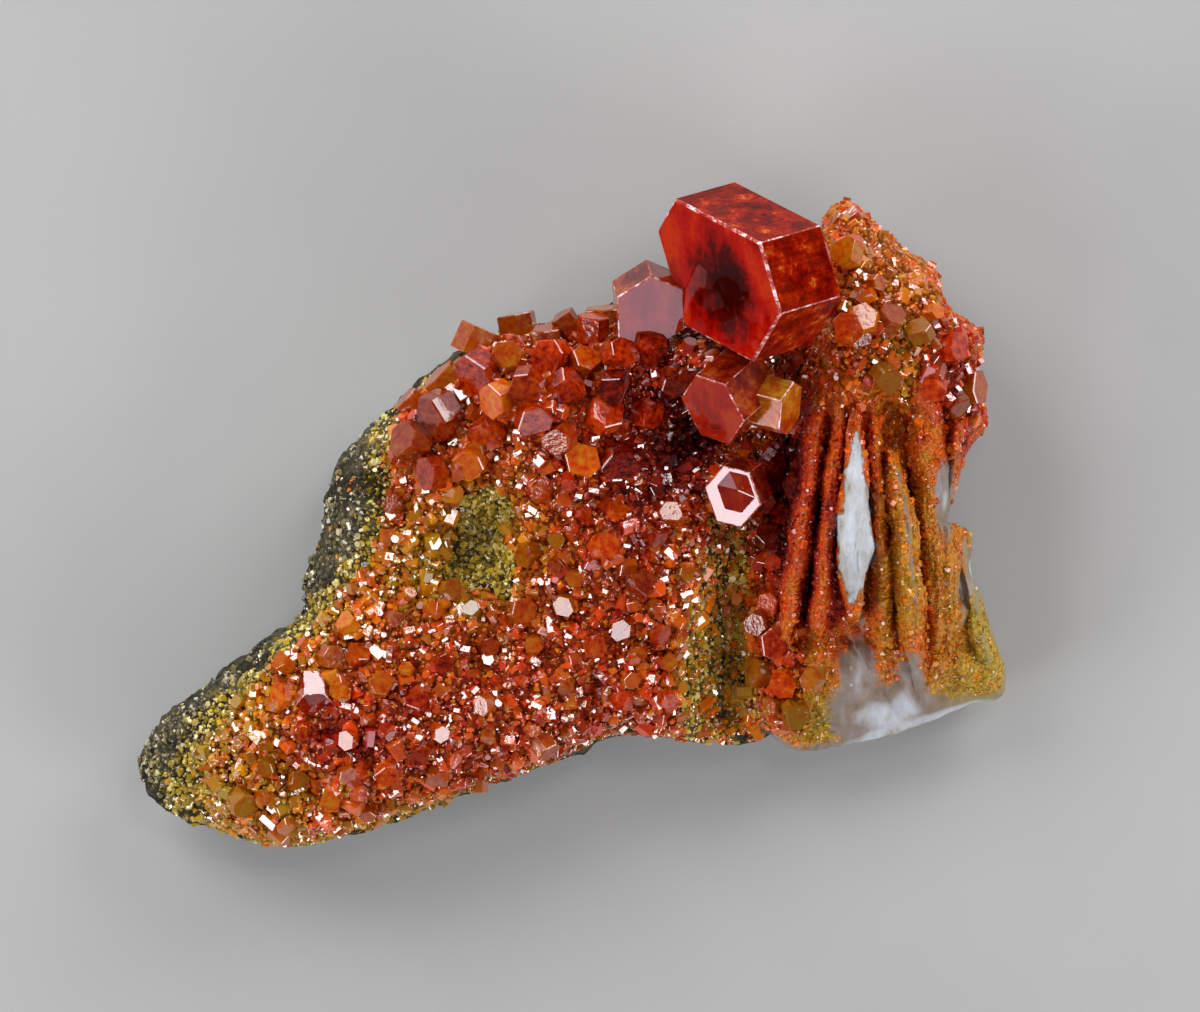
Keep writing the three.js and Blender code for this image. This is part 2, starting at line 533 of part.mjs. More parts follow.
addSolid("matrix_rock", rockSolid, MATERIALS.rock);
addSolid("barite_blades", bariteSolid, MATERIALS.barite);
addSolid("vanadinite_crust", mainCrust, MATERIALS.crust);
addSolid("flank_crust", flankCrust, MATERIALS.crust);
addSolid("crest_crust", crestCrust, MATERIALS.crust);
addCrystal("large_crystal", LARGE);
addSolid("tile_crystal", largest(crystalSolid(TILE).subtract(crystalSolid(LARGE, GAP))), MATERIALS.crystal);
addSolid(
  "stepped_crystal",
  largest(crystalSolid(STEPPED).add(crystalSolid(STEPPED_SIDE)).subtract(crystalSolid(LARGE, GAP))),
  MATERIALS.crystal,
);
addCrystal("window_crystal", WINDOW);
addCrystal("lone_crystal", LONE);

export default specimen;
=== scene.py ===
"""Looks of a vanadinite specimen: glossy hexagonal crystals and their fine druse on the rock, and the
barite's blades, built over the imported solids. Lengths in the numbers below are millimetres."""

import bpy
import numpy as np
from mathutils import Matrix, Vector


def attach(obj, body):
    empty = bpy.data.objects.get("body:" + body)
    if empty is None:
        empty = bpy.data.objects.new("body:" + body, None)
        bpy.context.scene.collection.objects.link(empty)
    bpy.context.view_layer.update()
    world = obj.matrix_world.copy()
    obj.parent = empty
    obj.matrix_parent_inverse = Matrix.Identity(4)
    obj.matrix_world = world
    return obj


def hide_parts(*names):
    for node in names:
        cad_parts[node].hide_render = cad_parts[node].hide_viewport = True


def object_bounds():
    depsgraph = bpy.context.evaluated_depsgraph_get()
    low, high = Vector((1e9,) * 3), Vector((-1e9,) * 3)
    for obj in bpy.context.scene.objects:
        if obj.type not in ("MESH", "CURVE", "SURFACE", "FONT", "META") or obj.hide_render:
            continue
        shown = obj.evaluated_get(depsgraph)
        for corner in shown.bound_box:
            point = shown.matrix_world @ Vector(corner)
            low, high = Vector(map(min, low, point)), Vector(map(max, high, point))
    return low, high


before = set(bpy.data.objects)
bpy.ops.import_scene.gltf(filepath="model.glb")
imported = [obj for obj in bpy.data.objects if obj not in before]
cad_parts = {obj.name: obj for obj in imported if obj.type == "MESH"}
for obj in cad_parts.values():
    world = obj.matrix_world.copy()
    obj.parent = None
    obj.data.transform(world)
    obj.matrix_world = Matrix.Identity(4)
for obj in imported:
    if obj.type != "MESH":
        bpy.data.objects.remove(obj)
CAD_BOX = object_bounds()
MM = 0.001

# Camera, straight above the specimen, with the photograph's framing
FRAME_WIDTH = 96.0
CAMERA_DISTANCE = 500.0
CAMERA_AT = (2.32, 0.88)
PLANE_HEIGHT = 12.0
SENSOR = 36.0

camera = bpy.data.objects.new("camera", bpy.data.cameras.new("camera"))
camera.data.sensor_width = SENSOR
camera.data.lens = SENSOR * CAMERA_DISTANCE / FRAME_WIDTH
camera.location = (CAMERA_AT[0] * MM, CAMERA_AT[1] * MM, (CAMERA_DISTANCE + PLANE_HEIGHT) * MM)
bpy.context.scene.collection.objects.link(camera)
bpy.context.scene.camera = camera

# Heights and outlines of the solids
PIT = (-7.3, -2.2)
PLATE_HEIGHT = 11.0
ROCK_RIM = 5.0
BARITE_HEIGHT = 8.5
BARITE_RIM = 4.8
FIN_FOOT = 3.5
FIN_SHOULDER = 2
CRUST_THICKNESS = 1.1
ROOT = 0.6
LATTICE_HALF = 34.0
ROW = np.sqrt(3) / 2
CURVE_STEPS = 24
PRISM_POINTS = 18
SIDES_UNEVEN = 0.16
CRUST_WARMTH = 0.62

ROCK_OUTLINE = [
    (-35.2, -20.1), (-33.7, -17.4), (-29.7, -13.8), (-25.7, -10.8), (-21.8, -7.6), (-21.7, -5.4),
    (-20.4, -1.8), (-19.7, 2.2), (-17.5, 6.2), (-13.8, 9.4), (-10.5, 12.2), (-7.3, 14.4),
    (-0.9, 15.9), (3.9, 17.2), (8.7, 18.0), (13.9, 19.0), (18.3, 19.6), (20.2, 14.0),
    (19.5, 5.4), (18.6, -6.6), (17.4, -14.0), (15.6, -17.8), (10.7, -18.3), (7.1, -17.7),
    (2.3, -18.0), (-0.9, -19.6), (-8.1, -22.2), (-13.7, -24.4), (-17.7, -25.6), (-23.0, -26.8),
    (-28.5, -25.5), (-32.5, -24.0), (-34.4, -22.2),
]
CRUST_OUTLINE = [
    (-28.6, -23.4), (-29.0, -19.0), (-26.6, -14.8), (-22.0, -10.4), (-18.6, -6.6), (-15.4, -2.8),
    (-14.6, 2.0), (-14.2, 6.0), (-12.6, 9.2), (-9.6, 11.8), (-6.6, 13.7), (-0.9, 15.0),
    (4.2, 16.4), (7.6, 14.6), (9.6, 10.8), (10.6, 5.8), (11.0, -0.6), (10.2, -5.6),
    (8.8, -10.0), (8.4, -14.0), (8.6, -17.2), (4.8, -17.1), (2.0, -17.2), (-1.2, -18.8),
    (-8.1, -21.3), (-13.7, -23.5), (-17.9, -24.7), (-22.8, -25.8), (-26.6, -25.2),
]
BARITE_OUTLINE = [
    (13.7, -9.8), (14.6, -4.0), (16.2, 3.4), (17.4, 10.4), (19.2, 16.4), (20.2, 21.4),
    (20.5, 24.4), (22.3, 25.6), (24.7, 23.8), (26.9, 21.8), (29.3, 20.2), (30.4, 17.2),
    (33.2, 14.8), (32.8, 11.4), (33.7, 7.8), (32.0, 5.2), (31.1, 2.2), (30.5, -0.4),
    (32.3, -1.2), (32.4, -4.6), (33.2, -6.4), (34.3, -10.0), (35.2, -12.6), (34.8, -14.6),
    (32.4, -15.2), (28.2, -16.9), (23.9, -18.2), (18.9, -19.0), (17.4, -18.7), (15.8, -17.3),
    (14.4, -13.8),
]
CREST_OUTLINE = [
    (21.0, 12.4), (20.6, 16.4), (20.9, 21.2), (21.2, 24.0), (22.4, 24.7), (24.2, 23.2),
    (26.4, 21.1), (28.7, 19.4), (29.8, 16.5), (32.3, 14.3), (32.0, 11.4), (32.8, 8.2),
    (31.2, 6.2), (28.4, 7.2), (25.0, 10.0),
]
FLANK_OUTLINE = [
    (14.4, -7.2), (14.2, -2.6), (14.6, 1.8), (15.6, 6.0), (17.6, 9.6), (18.9, 5.2),
    (17.9, -1.4), (16.9, -7.2), (18.6, -11.6), (20.2, -15.2), (18.8, -17.9), (16.6, -17.0),
    (15.2, -13.8), (14.4, -10.6),
]
PIT_OUTLINE = [
    (-9.6, 1.4), (-8.9, -1.9), (-10.3, -3.6), (-9.2, -6.1), (-6.9, -5.4), (-5.2, -6.4), (-4.5, -3.2),
    (-5.3, -1.5), (-4.2, 0.9), (-6.1, 2.7), (-7.9, 1.8),
]
# Barite fins: stations of x, y, height of the ridge and half thickness down the fan, and the share of
# the thickness that the ridge keeps
FINS = [
    ([(20.2, 13, 16.2, 0.8), (19.2, 5, 16.4, 1.0), (18.2, -3, 15.2, 1.0), (17.2, -10, 10.5, 0.8)], 0.25),
    ([(21.5, 10.5, 16.2, 0.7), (20.9, 3, 16.8, 0.9), (20.3, -4, 15.8, 0.9), (19.8, -9, 11.6, 0.8)], 0.25),
    ([(22.6, 8.6, 16.4, 0.4), (22.5, 3, 18.2, 1.1), (22.5, -2.6, 18, 1.5), (22.5, -7.8, 14.6, 0.5)], 0.85),
    ([(24.0, 8, 15.2, 0.6), (24.3, 2.5, 16.2, 0.8), (24.8, -4, 15, 0.9), (25.2, -10.4, 10.5, 0.9)], 0.25),
    ([(25.3, 5.4, 15.2, 0.6), (26.2, 1, 17.2, 1.1), (27.0, -6, 14.8, 1.2), (28.0, -14, 8.8, 1.0)], 0.25),
    ([(28.0, 11, 15.4, 1.2), (28.7, 4, 15, 1.6), (29.4, -3, 13, 1.7), (30.0, -12, 8.6, 1.5)], 0.5),
    ([(30.9, 7.4, 14.6, 0.5), (30.6, 2.4, 14.4, 0.7), (30.2, -1.6, 11.5, 0.5)], 0.25),
    ([(31.4, -1.6, 8.8, 0.5), (32, -5, 10.2, 0.8), (32.9, -9.6, 9, 1.0), (33.7, -13.2, 7, 0.6)], 0.4),
]
# The same stations as arrays, from the foot of the fan upwards
FIN_ROUTES = [np.array(stations)[::-1].T for stations, _ in FINS]
# Swells and hollows: centre, reach along x and y, and rise
ROCK_SWELLS = [
    (-3, 10, 10, 7, 5), (13, 14, 7, 5.5, 6), (-34, -20, 11, 9, -3), (-12, -17, 13, 5, 2), (4, -4, 8, 8, 2.2),
    (-18.5, 1.5, 3.4, 7, 1.6), (-31, -18, 3.6, 3, 1.6), (*PIT, 2.9, 4.2, -3), (9, 6.6, 3.4, 3, -3),
    (12.6, -8, 2.6, 6, -5), (12.6, -16, 3.4, 5, -5), (20.5, -6, 4.6, 15, -4.6),
]
BARITE_SWELLS = [
    (22, 24, 5, 7, 7.2), (29.5, 15, 5.5, 7, 7), (20.5, 13, 4.5, 7, 6.5), (23, 3, 7, 10, 3.4),
    (26, -20, 14, 6, -2), (24.5, -13, 4, 2.6, 1.2),
]
# Patches in the same form: where the crust is redder or yellower, and the barite lemon or bare
WARM_PATCHES = [
    (8.5, 7, 5, 6.5, 0.3), (-18.6, -18, 4, 2.4, 0.24), (-29, -14, 6.5, 5, -0.34), (-21, -8, 7, 4, -0.24),
    (-27, -23.5, 7, 3.4, -0.22), (-13, -23.5, 7, 1.8, -0.15), (*PIT, 4.8, 5.4, -0.42), (-13, -4, 4, 4, -0.2),
    (18.2, 3, 3.2, 10, 0.22), (20.6, -16.8, 3, 3.4, -0.36), (11.8, -11, 3.4, 8, -0.32),
    (29.8, 11.5, 3.2, 4, 0.14), (25, 19, 6, 8, -0.19), (26.5, 11.8, 1.6, 3.4, -0.24),
    (26.8, -4, 4.6, 10, -0.33), (33.6, -8, 2.8, 7, -0.36), (31, -15, 4, 2.5, -0.2), (-24, -20.5, 6, 5, -0.13),
]
LEMON_PATCHES = [(33.5, -9, 2.6, 6.5, 1), (32.6, -13.6, 3.6, 2.4, 0.9), (31.8, 0, 1.6, 3, 0.7)]
BARE_PATCHES = [
    (22.9, -12.2, 1.6, 2.8, -1), (27.2, -13, 1.2, 2.4, -0.9), (24.8, -16.4, 3.9, 2.4, -1.25),
    (29.9, 1.6, 0.9, 3, -1.2), (31.6, -5.8, 0.8, 2.6, -0.8), (31.5, -15.6, 5, 1.5, -0.7),
]


def run_along(line):
    """The distance run from the first point of a line to each of its points."""
    return np.concatenate([[0], np.cumsum(np.linalg.norm(np.diff(line, axis=0), axis=1))])


class Rim:
    """An outline as a smooth closed curve around a centre.

    The curve is a centripetal Catmull-Rom spline: each stretch is a cubic whose end slopes come from the
    neighbouring points, weighted by the square roots of the distances between them."""

    def __init__(self, outline, centre):
        self.centre = np.array(centre)
        p1 = np.array(outline, float)
        p0, p2, p3 = np.roll(p1, 1, 0), np.roll(p1, -1, 0), np.roll(p1, -2, 0)
        spans = (p1 - p0, p2 - p1, p3 - p2)
        d0, d1, d2 = (np.sqrt(np.linalg.norm(span, axis=1))[:, None] for span in spans)
        m1 = d1 * ((p1 - p0) / d0 - (p2 - p0) / (d0 + d1) + (p2 - p1) / d1)
        m2 = d1 * ((p2 - p1) / d1 - (p3 - p1) / (d1 + d2) + (p3 - p2) / d2)
        t = np.linspace(0, 1, CURVE_STEPS, endpoint=False)[None, :, None]
        p1, p2, m1, m2 = (a[:, None] for a in (p1, p2, m1, m2))
        curve = p1 + m1 * t + (3 * (p2 - p1) - 2 * m1 - m2) * t**2 + (2 * (p1 - p2) + m1 + m2) * t**3
        self.curve = curve.reshape(-1, 2)
        away = self.curve - self.centre
        self.bearing = np.arctan2(away[:, 1], away[:, 0])
        self.reach = np.hypot(away[:, 0], away[:, 1])

    def share(self, x, y):
        """How far a point lies out, as a share of the way from the centre to the curve."""
        dx, dy = x - self.centre[0], y - self.centre[1]
        rim = np.interp(np.arctan2(dy, dx), self.bearing, self.reach, period=2 * np.pi)
        return np.hypot(dx, dy) / rim

    def points(self, count):
        """Points at equal distances along the curve."""
        closed = np.vstack([self.curve, self.curve[:1]])
        run = run_along(closed)
        at = np.arange(count) / count * run[-1]
        return np.stack([np.interp(at, run, closed[:, 0]), np.interp(at, run, closed[:, 1])], -1)


ROCK = Rim(ROCK_OUTLINE, (-2.5, -3.4))
CRUST = Rim(CRUST_OUTLINE, (-2.5, -5.4))
BARITE = Rim(BARITE_OUTLINE, (24.2, 1.0))
CREST = Rim(CREST_OUTLINE, (26.6, 14.0))
FLANK = Rim(FLANK_OUTLINE, (16.1, -5.0))
HOLE = Rim(PIT_OUTLINE, PIT)


def mix(a, b, share):
    """Part of the way from one value to another: the first plus a share of the difference."""
    return a + (b - a) * share


def chance(i, k):
    """A repeatable number from 0 to 1: the fraction of a large multiple of a sine."""
    wide = np.sin(np.asarray(i) * 12.9898 + k * 78.233) * 43758.5453
    return wide - np.floor(wide)


def noise(points, scale, seed=0):
    """Smooth noise between -1 and 1: a repeatable number at each corner of a lattice, blended between
    the eight corners around a point."""
    p = points / scale
    cell = np.floor(p)
    f = p - cell
    f = f * f * (3 - 2 * f)
    total = np.zeros(points.shape[:-1])
    for dx in (0, 1):
        for dy in (0, 1):
            for dz in (0, 1):
                c = cell + (dx, dy, dz)
                value = chance(c[..., 0] + 57.0 * c[..., 1] + 113.0 * c[..., 2], 3 + seed)
                wx, wy, wz = (f[..., a] if d else 1 - f[..., a] for a, d in ((0, dx), (1, dy), (2, dz)))
                total += value * wx * wy * wz
    return 2 * total - 1


def rough(points, scale, octaves=4, seed=0):
    """Noise summed over octaves, each half as wide and 0.55 times as high as the last."""
    total = 0
    for k in range(octaves):
        total = total + 0.55**k * noise(points, scale / 2**k, seed + k)
    return total


def plan(x, y):
    """Points at height 0, for noise that doesn't change with the height."""
    return np.stack([x, y, np.zeros_like(x)], -1)


def bell(x, y, centre, reach, rise):
    """A swell or hollow with a bell-shaped section."""
    return rise * np.exp(-(((x - centre[0]) / reach[0]) ** 2) - ((y - centre[1]) / reach[1]) ** 2)


def swells(x, y, level, table):
    """A level plus the bells of a table."""
    for cx, cy, along_x, along_y, rise in table:
        level = level + bell(x, y, (cx, cy), (along_x, along_y), rise)
    return level


def lumps(x, y, wave):
    """Irregular lumps as a sum of crossing waves."""
    return (
        0.5 * np.sin((6.3 * x) / wave + 1.7 * np.sin((4.1 * y) / wave)) * np.sin((5.7 * y) / wave + 0.9)
        + 0.3 * np.sin((9.1 * (x + y)) / wave + 2.1)
        + 0.2 * np.sin((13.7 * (x - 0.6 * y)) / wave + 4.4)
    )


def zigzag(t):
    """A wave of straight slopes between 0 and 1."""
    return np.abs(t - 2 * np.floor(t / 2) - 1)


def facets(x, y, wave):
    """Planes that meet in sharp ridges and creases: the highest of three crossing zigzag waves."""
    a = zigzag((x + 0.4 * y) / wave)
    b = zigzag((y - 0.55 * x) / wave + 0.7)
    c = zigzag((x + 1.7 * y) / (1.6 * wave) + 0.3)
    return 3 * np.maximum(np.maximum(a, b), c) - 2.1


def rounded(share):
    """Steep at the rim and level from half way in: the square root of 1 less the seventh power."""
    return np.sqrt(np.maximum(0, 1 - np.minimum(1, share) ** 7))


def rock_relief(x, y):
    """The plate's height: a level plus swells, hollows, lumps and broken facets."""
    return swells(x, y, PLATE_HEIGHT, ROCK_SWELLS) + 0.6 * lumps(x, y, 11) + 0.55 * facets(x, y, 4.6)


def barite_relief(x, y):
    """The barite slab's height: a level plus the crest's swells, the low base and broken facets."""
    return swells(x, y, BARITE_HEIGHT, BARITE_SWELLS) + 0.45 * facets(x, y, 3.8)


def rock_rim(x, y):
    """The rock's height at its outline: a level plus broken facets."""
    return ROCK_RIM + 0.7 * facets(x, y, 6.1)


def barite_rim(x, y):
    """The barite's height at its outline: a level plus broken facets."""
    return BARITE_RIM + 0.6 * facets(x, y, 5.2)


def along_fin(k, y):
    """A fin's middle line, the height of its ridge and its half thickness at y."""
    line, at, height, half = FIN_ROUTES[k]
    return [np.interp(y, at, values) for values in (line, height, half)]


def fin_heights(x, y):
    """The highest fin over a point: a fin falls a little from its ridge to its shoulders, and from there
    straight to its foot. Beyond its ends it falls away fast."""
    high = np.full(np.shape(x), FIN_FOOT)
    for k, (_, ridge) in enumerate(FINS):
        line, top, half = along_fin(k, y)
        first, at = FIN_ROUTES[k][0][0], FIN_ROUTES[k][1]
        wander = 0.12 * np.sin(y * 1.1 + first)
        away = np.abs(x - line - wander) / half
        side = top - FIN_SHOULDER * np.clip((away - ridge) / (1 - ridge), 0, 1)
        side = side - (top - FIN_SHOULDER - FIN_FOOT) * np.clip((away - 1) / 0.5, 0, 1)
        beyond = np.maximum(0, np.maximum(at[0] - y, y - at[-1]))
        high = np.maximum(high, side - 9 * beyond)
    return high


def rock_top(x, y):
    """The relief inside, drawn down to the rim's height at the outline."""
    return mix(rock_rim(x, y), rock_relief(x, y), rounded(ROCK.share(x, y)))


def barite_top(x, y):
    """The slab's relief inside, drawn down to the rim's height at the outline."""
    return mix(barite_rim(x, y), barite_relief(x, y), rounded(BARITE.share(x, y)))


def ground(x, y):
    """The higher of the rock and the barite slab, each inside its outline."""
    return np.maximum(
        np.where(ROCK.share(x, y) < 1, rock_top(x, y), 0),
        np.where(BARITE.share(x, y) < 1, barite_top(x, y), 0),
    )


def underside(x, y):
    """Rough below, cut off level where it would sink under the surface that it rests on."""
    relief = 1.2 * lumps(x + 3, y, 15) + 0.6 * facets(x, y, 6.7) + 0.3
    return np.maximum(0, relief - bell(x, y, (-6, -6), (8, 7), 4))


def crust_top(x, y):
    """The crust's height between its crystals: thicker in the upper cluster, and uneven."""
    return ground(x, y) + CRUST_THICKNESS + bell(x, y, (-3, 10), (10, 6.5), 0.9) + 0.25 * lumps(x, y, 3.3)


def upright(x, y, height=ground, step=0.6):
    """The surface's upright direction from the differences of its heights around a point."""
    up = np.stack([
        (height(x - step, y) - height(x + step, y)) / (2 * step),
        (height(x, y - step) - height(x, y + step)) / (2 * step),
        np.ones_like(x),
    ], -1)
    return up / np.linalg.norm(up, axis=-1, keepdims=True)


def warmth(x, y):
    """The crust's colour from 0, olive yellow, over orange to 1, the darkest red: a level plus patches."""
    return swells(x, y, CRUST_WARMTH, WARM_PATCHES) + 0.07 * lumps(x, y, 5)


def put(name, points, triangles, material, slot, nodes=(), smooth=False, **numbers):
    """A mesh piece from arrays of points in mm and of triangles, with a number per point for each name.
    Points past the solids' box are moved onto it."""
    mesh = bpy.data.meshes.new(name)
    mesh.vertices.add(len(points))
    inside = np.clip(np.asarray(points) * MM, *CAD_BOX).astype(np.float32)
    mesh.vertices.foreach_set("co", inside.ravel())
    mesh.loops.add(triangles.size)
    mesh.loops.foreach_set("vertex_index", triangles.astype(np.int32).ravel())
    mesh.polygons.add(len(triangles))
    mesh.polygons.foreach_set("loop_start", np.arange(0, triangles.size, 3, dtype=np.int32))
    mesh.polygons.foreach_set("use_smooth", np.full(len(triangles), smooth))
    for label, values in numbers.items():
        attribute = mesh.attributes.new(label, "FLOAT", "POINT")
        attribute.data.foreach_set("value", np.asarray(values, np.float32).ravel())
    mesh.update(calc_edges=True)
    mesh.materials.append(material)
    piece = bpy.data.objects.new(name, mesh)
    bpy.context.scene.collection.objects.link(piece)
    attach(piece, "root")
    if nodes:
        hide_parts(*nodes)
    return piece


def shell(rim, spokes, rings, base_rings, top, base, rim_height):
    """A closed shell: at share s of the way out to the outline its top and base lie between the rim's
    height and their own, by the square root of 1 less the seventh power of s, and meet on the outline.
    The rings stand at the sines of equal angles, so that they crowd towards the rim. The outline runs
    clockwise as seen from above, so that the faces look outwards."""
    edge = rim.points(spokes)
    out = np.sin(np.linspace(0, np.pi / 2, rings + 1))[1:]
    back = np.sin(np.linspace(0, np.pi / 2, base_rings + 1))[1:-1][::-1]
    levels = []
    for s, height in [(s, top) for s in out] + [(s, base) for s in back]:
        xy = mix(rim.centre, edge, s)
        x, y = xy.T
        levels.append(np.column_stack([xy, mix(rim_height(x, y), height(x, y), rounded(s))]))
    cx, cy = rim.centre
    ends = np.array([[cx, cy, top(cx, cy)], [cx, cy, base(cx, cy)]])
    points = np.vstack([*levels, ends])
    i = np.arange(spokes)
    j = (i + 1) % spokes
    starts = np.arange(len(levels) - 1)[:, None] * spokes
    a, b = starts + i, starts + j
    c, d = a + spokes, b + spokes
    sides = np.concatenate([np.stack(q, -1).reshape(-1, 3) for q in ((a, b, c), (b, d, c))])
    last = (len(levels) - 1) * spokes
    first_fan = np.stack([np.full(spokes, len(points) - 2), j, i], -1)
    last_fan = np.stack([last + i, last + j, np.full(spokes, len(points) - 1)], -1)
    return points, np.concatenate([sides, first_fan, last_fan])


def stony(x, y):
    """The rock's relief with its grit: broken lumps three and one millimetres wide, and a little lower
    without them where a crust covers it."""
    p = plan(x, y)
    outside = np.clip((np.minimum(CRUST.share(x, y), FLANK.share(x, y)) - 0.94) / 0.06, 0, 1)
    bare = np.maximum(outside, np.clip((1.15 - HOLE.share(x, y)) / 0.15, 0, 1))
    grit = 0.5 * rough(p, 3.2, 3, 1) + 0.2 * rough(p, 1.0, 2, 5)
    return rock_relief(x, y) + bell(x, y, PIT, (2.4, 3.6), 0.7) + bare * grit - 0.3 * (1 - bare)


def stony_top(x, y):
    """The gritty rock inside, drawn down to the rim's height at the outline."""
    return mix(rock_rim(x, y), stony(x, y), rounded(ROCK.share(x, y)))


def shaken(points, amount, scale, seed):
    """Points moved by three noises of their own, one along each axis."""
    return points + amount * np.stack([rough(points, scale, 4, seed + 11 * a) for a in range(3)], -1)


def hexagon(distances, angle):
    """Corners of six-sided sections. A corner lies where two neighbouring sides meet: at the first side's
    distance along its normal, and beside it by the next distance less half the first, over the sine of
    60 degrees."""
    beside = (np.roll(distances, -1, -1) - distances * 0.5) / np.sin(np.pi / 3)
    return np.stack([distances * np.cos(angle) - beside * np.sin(angle),
                     distances * np.sin(angle) + beside * np.cos(angle)], -1)


def turning(facing):
    """Matrices that turn the upright direction by the shortest way to the ones given."""
    fx, fy, fz = facing.T
    w = 1 / (1 + fz)
    return np.stack([
        np.stack([1 - fx * fx * w, -fx * fy * w, -fx], -1),
        np.stack([-fx * fy * w, 1 - fy * fy * w, -fy], -1),
        facing,
    ], -2)


def tube(sides, rings):
    """Triangles of a closed tube of rings: a fan on each end, and two triangles for each side between
    neighbouring rings."""
    i = np.arange(sides)
    j = (i + 1) % sides
    k = np.arange(1, sides - 1)
    last = (rings - 1) * sides
    faces = [np.stack([0 * k, k, k + 1], -1), last + np.stack([0 * k, k + 1, k], -1)]
    for ring in range(0, last, sides):
        faces += [np.stack([ring + i, ring + sides + i, ring + j], -1),
                  np.stack([ring + j, ring + sides + i, ring + sides + j], -1)]
    return np.concatenate(faces)


def prisms(at, facing, spin, faces, length, bevel):
    """Six-sided prisms as arrays. Each end face's centre is at a point and looks along a direction, and
    its rim is cut back by the bevel. Returns points of all crystals in one array, and their triangles."""
    angle = np.radians(spin)[:, None] + np.arange(6) * np.pi / 3
    rings = []
    for distances, z in ((faces - bevel[:, None], 0 * bevel), (faces, -bevel), (faces, -length)):
        heights = np.broadcast_to(z[:, None, None], (len(at), 6, 1))
        rings.append(np.concatenate([hexagon(distances, angle), heights], -1))
    points = np.einsum("nka,nab->nkb", np.concatenate(rings, 1), turning(facing)) + at[:, None]
    triangles = tube(6, 3)[None] + PRISM_POINTS * np.arange(len(at))[:, None, None]
    return points.reshape(-1, 3), triangles.reshape(-1, 3)


def nowhere(x, y):
    """False at every place, so that no crystal is skipped."""
    return np.zeros(np.shape(x), bool)


def lattice(rim, spacing, reach, seed, jitter, skip):
    """Places on a staggered, jittered lattice inside a rim, but not where skip says so, and their numbers."""
    rows = int(2 * LATTICE_HALF / (spacing * ROW))
    columns = int(2 * LATTICE_HALF / spacing)
    row, column = (a.ravel() for a in np.mgrid[0:rows, 0:columns])
    i = seed + row * columns + column
    shift = [jitter * (chance(i, k) - 0.5) for k in (1, 2)]
    x = rim.centre[0] - LATTICE_HALF + (column + 0.5 * (row % 2) + shift[0]) * spacing
    y = rim.centre[1] - LATTICE_HALF + (row * ROW + shift[1]) * spacing
    kept = rim.share(x, y) <= reach
    x, y, i = x[kept], y[kept], i[kept]
    kept = ~skip(x, y)
    return x[kept], y[kept], i[kept]


def rooted(x, y, size, stand, bearing, lean, spin, foot, root):
    """Crystals that stand out of a surface, leaning off its upright direction along a bearing."""
    up = upright(x, y)
    up[:, 0] += np.cos(bearing) * lean
    up[:, 1] += np.sin(bearing) * lean
    facing = up / np.linalg.norm(up, axis=1, keepdims=True)
    z = foot + facing[:, 2] * (stand + root)
    at = np.stack([x + facing[:, 0] * stand, y + facing[:, 1] * stand, z], -1)
    return {"at": at, "facing": facing, "spin": spin, "size": size, "length": stand + root}


def by_chance(x, y, i, size, proud, lean, foot, root):
    """Crystals that stand out by a share of their size, and lean and spin, by chance."""
    stand = size * mix(*proud, chance(i, 6))
    return rooted(x, y, size, stand, 2 * np.pi * chance(i, 3), lean * np.sqrt(chance(i, 4)),
                  60 * chance(i, 7), foot, root)


def scattered(rim, spacing, reach, radius, proud, lean, seed, skip=nowhere):
    """The solids' own small crystals, at the same places and with the same sizes."""
    x, y, i = lattice(rim, spacing, reach, seed, 0.7, skip)
    size = mix(*radius, chance(i, 5))
    return by_chance(x, y, i, size, proud, lean, crust_top(x, y) - ROOT, ROOT)


def druse(rim, spacing, reach, radius, proud, lean, seed, surface, sunk, skip=nowhere):
    """A fine druse: crystals whose sizes favour the small, on a surface given by its height. They stand
    out by a share of their size, and reach down by most of it and by the depth sunk."""
    x, y, i = lattice(rim, spacing, reach, seed, 1.0, skip)
    size = mix(*radius, chance(i, 5) ** 1.8)
    root = size * 0.8 + sunk
    return by_chance(x, y, i, size, proud, lean, surface(x, y) - root, root)


def together(groups):
    """Several groups of crystals as one, in the same order."""
    return {key: np.concatenate([g[key] for g in groups]) for key in groups[0]}


def grown(name, group, material, slot, nodes=(), bevel=0.1, shift=0.0, spread=0.14, hue=warmth):
    """One joined mesh of prisms. Their side faces lie unevenly far out, and each crystal carries its own
    colour number: the patch's warmth at its place, moved up or down by chance."""
    k = np.arange(len(group["size"]))
    off = 2 * chance(k[:, None] * 7 + np.arange(6), 31) - 1
    faces = group["size"][:, None] * (1 + SIDES_UNEVEN * off)
    points, triangles = prisms(group["at"], group["facing"], group["spin"], faces, group["length"],
                               bevel * group["size"])
    own = np.clip(hue(*group["at"][:, :2].T) + shift + spread * (2 * chance(k, 41) - 1), 0.02, 1)
    put(name, points, triangles, material, slot, nodes,
        warmth=np.repeat(own, PRISM_POINTS), grain=np.repeat(chance(k, 43), PRISM_POINTS))


# Materials


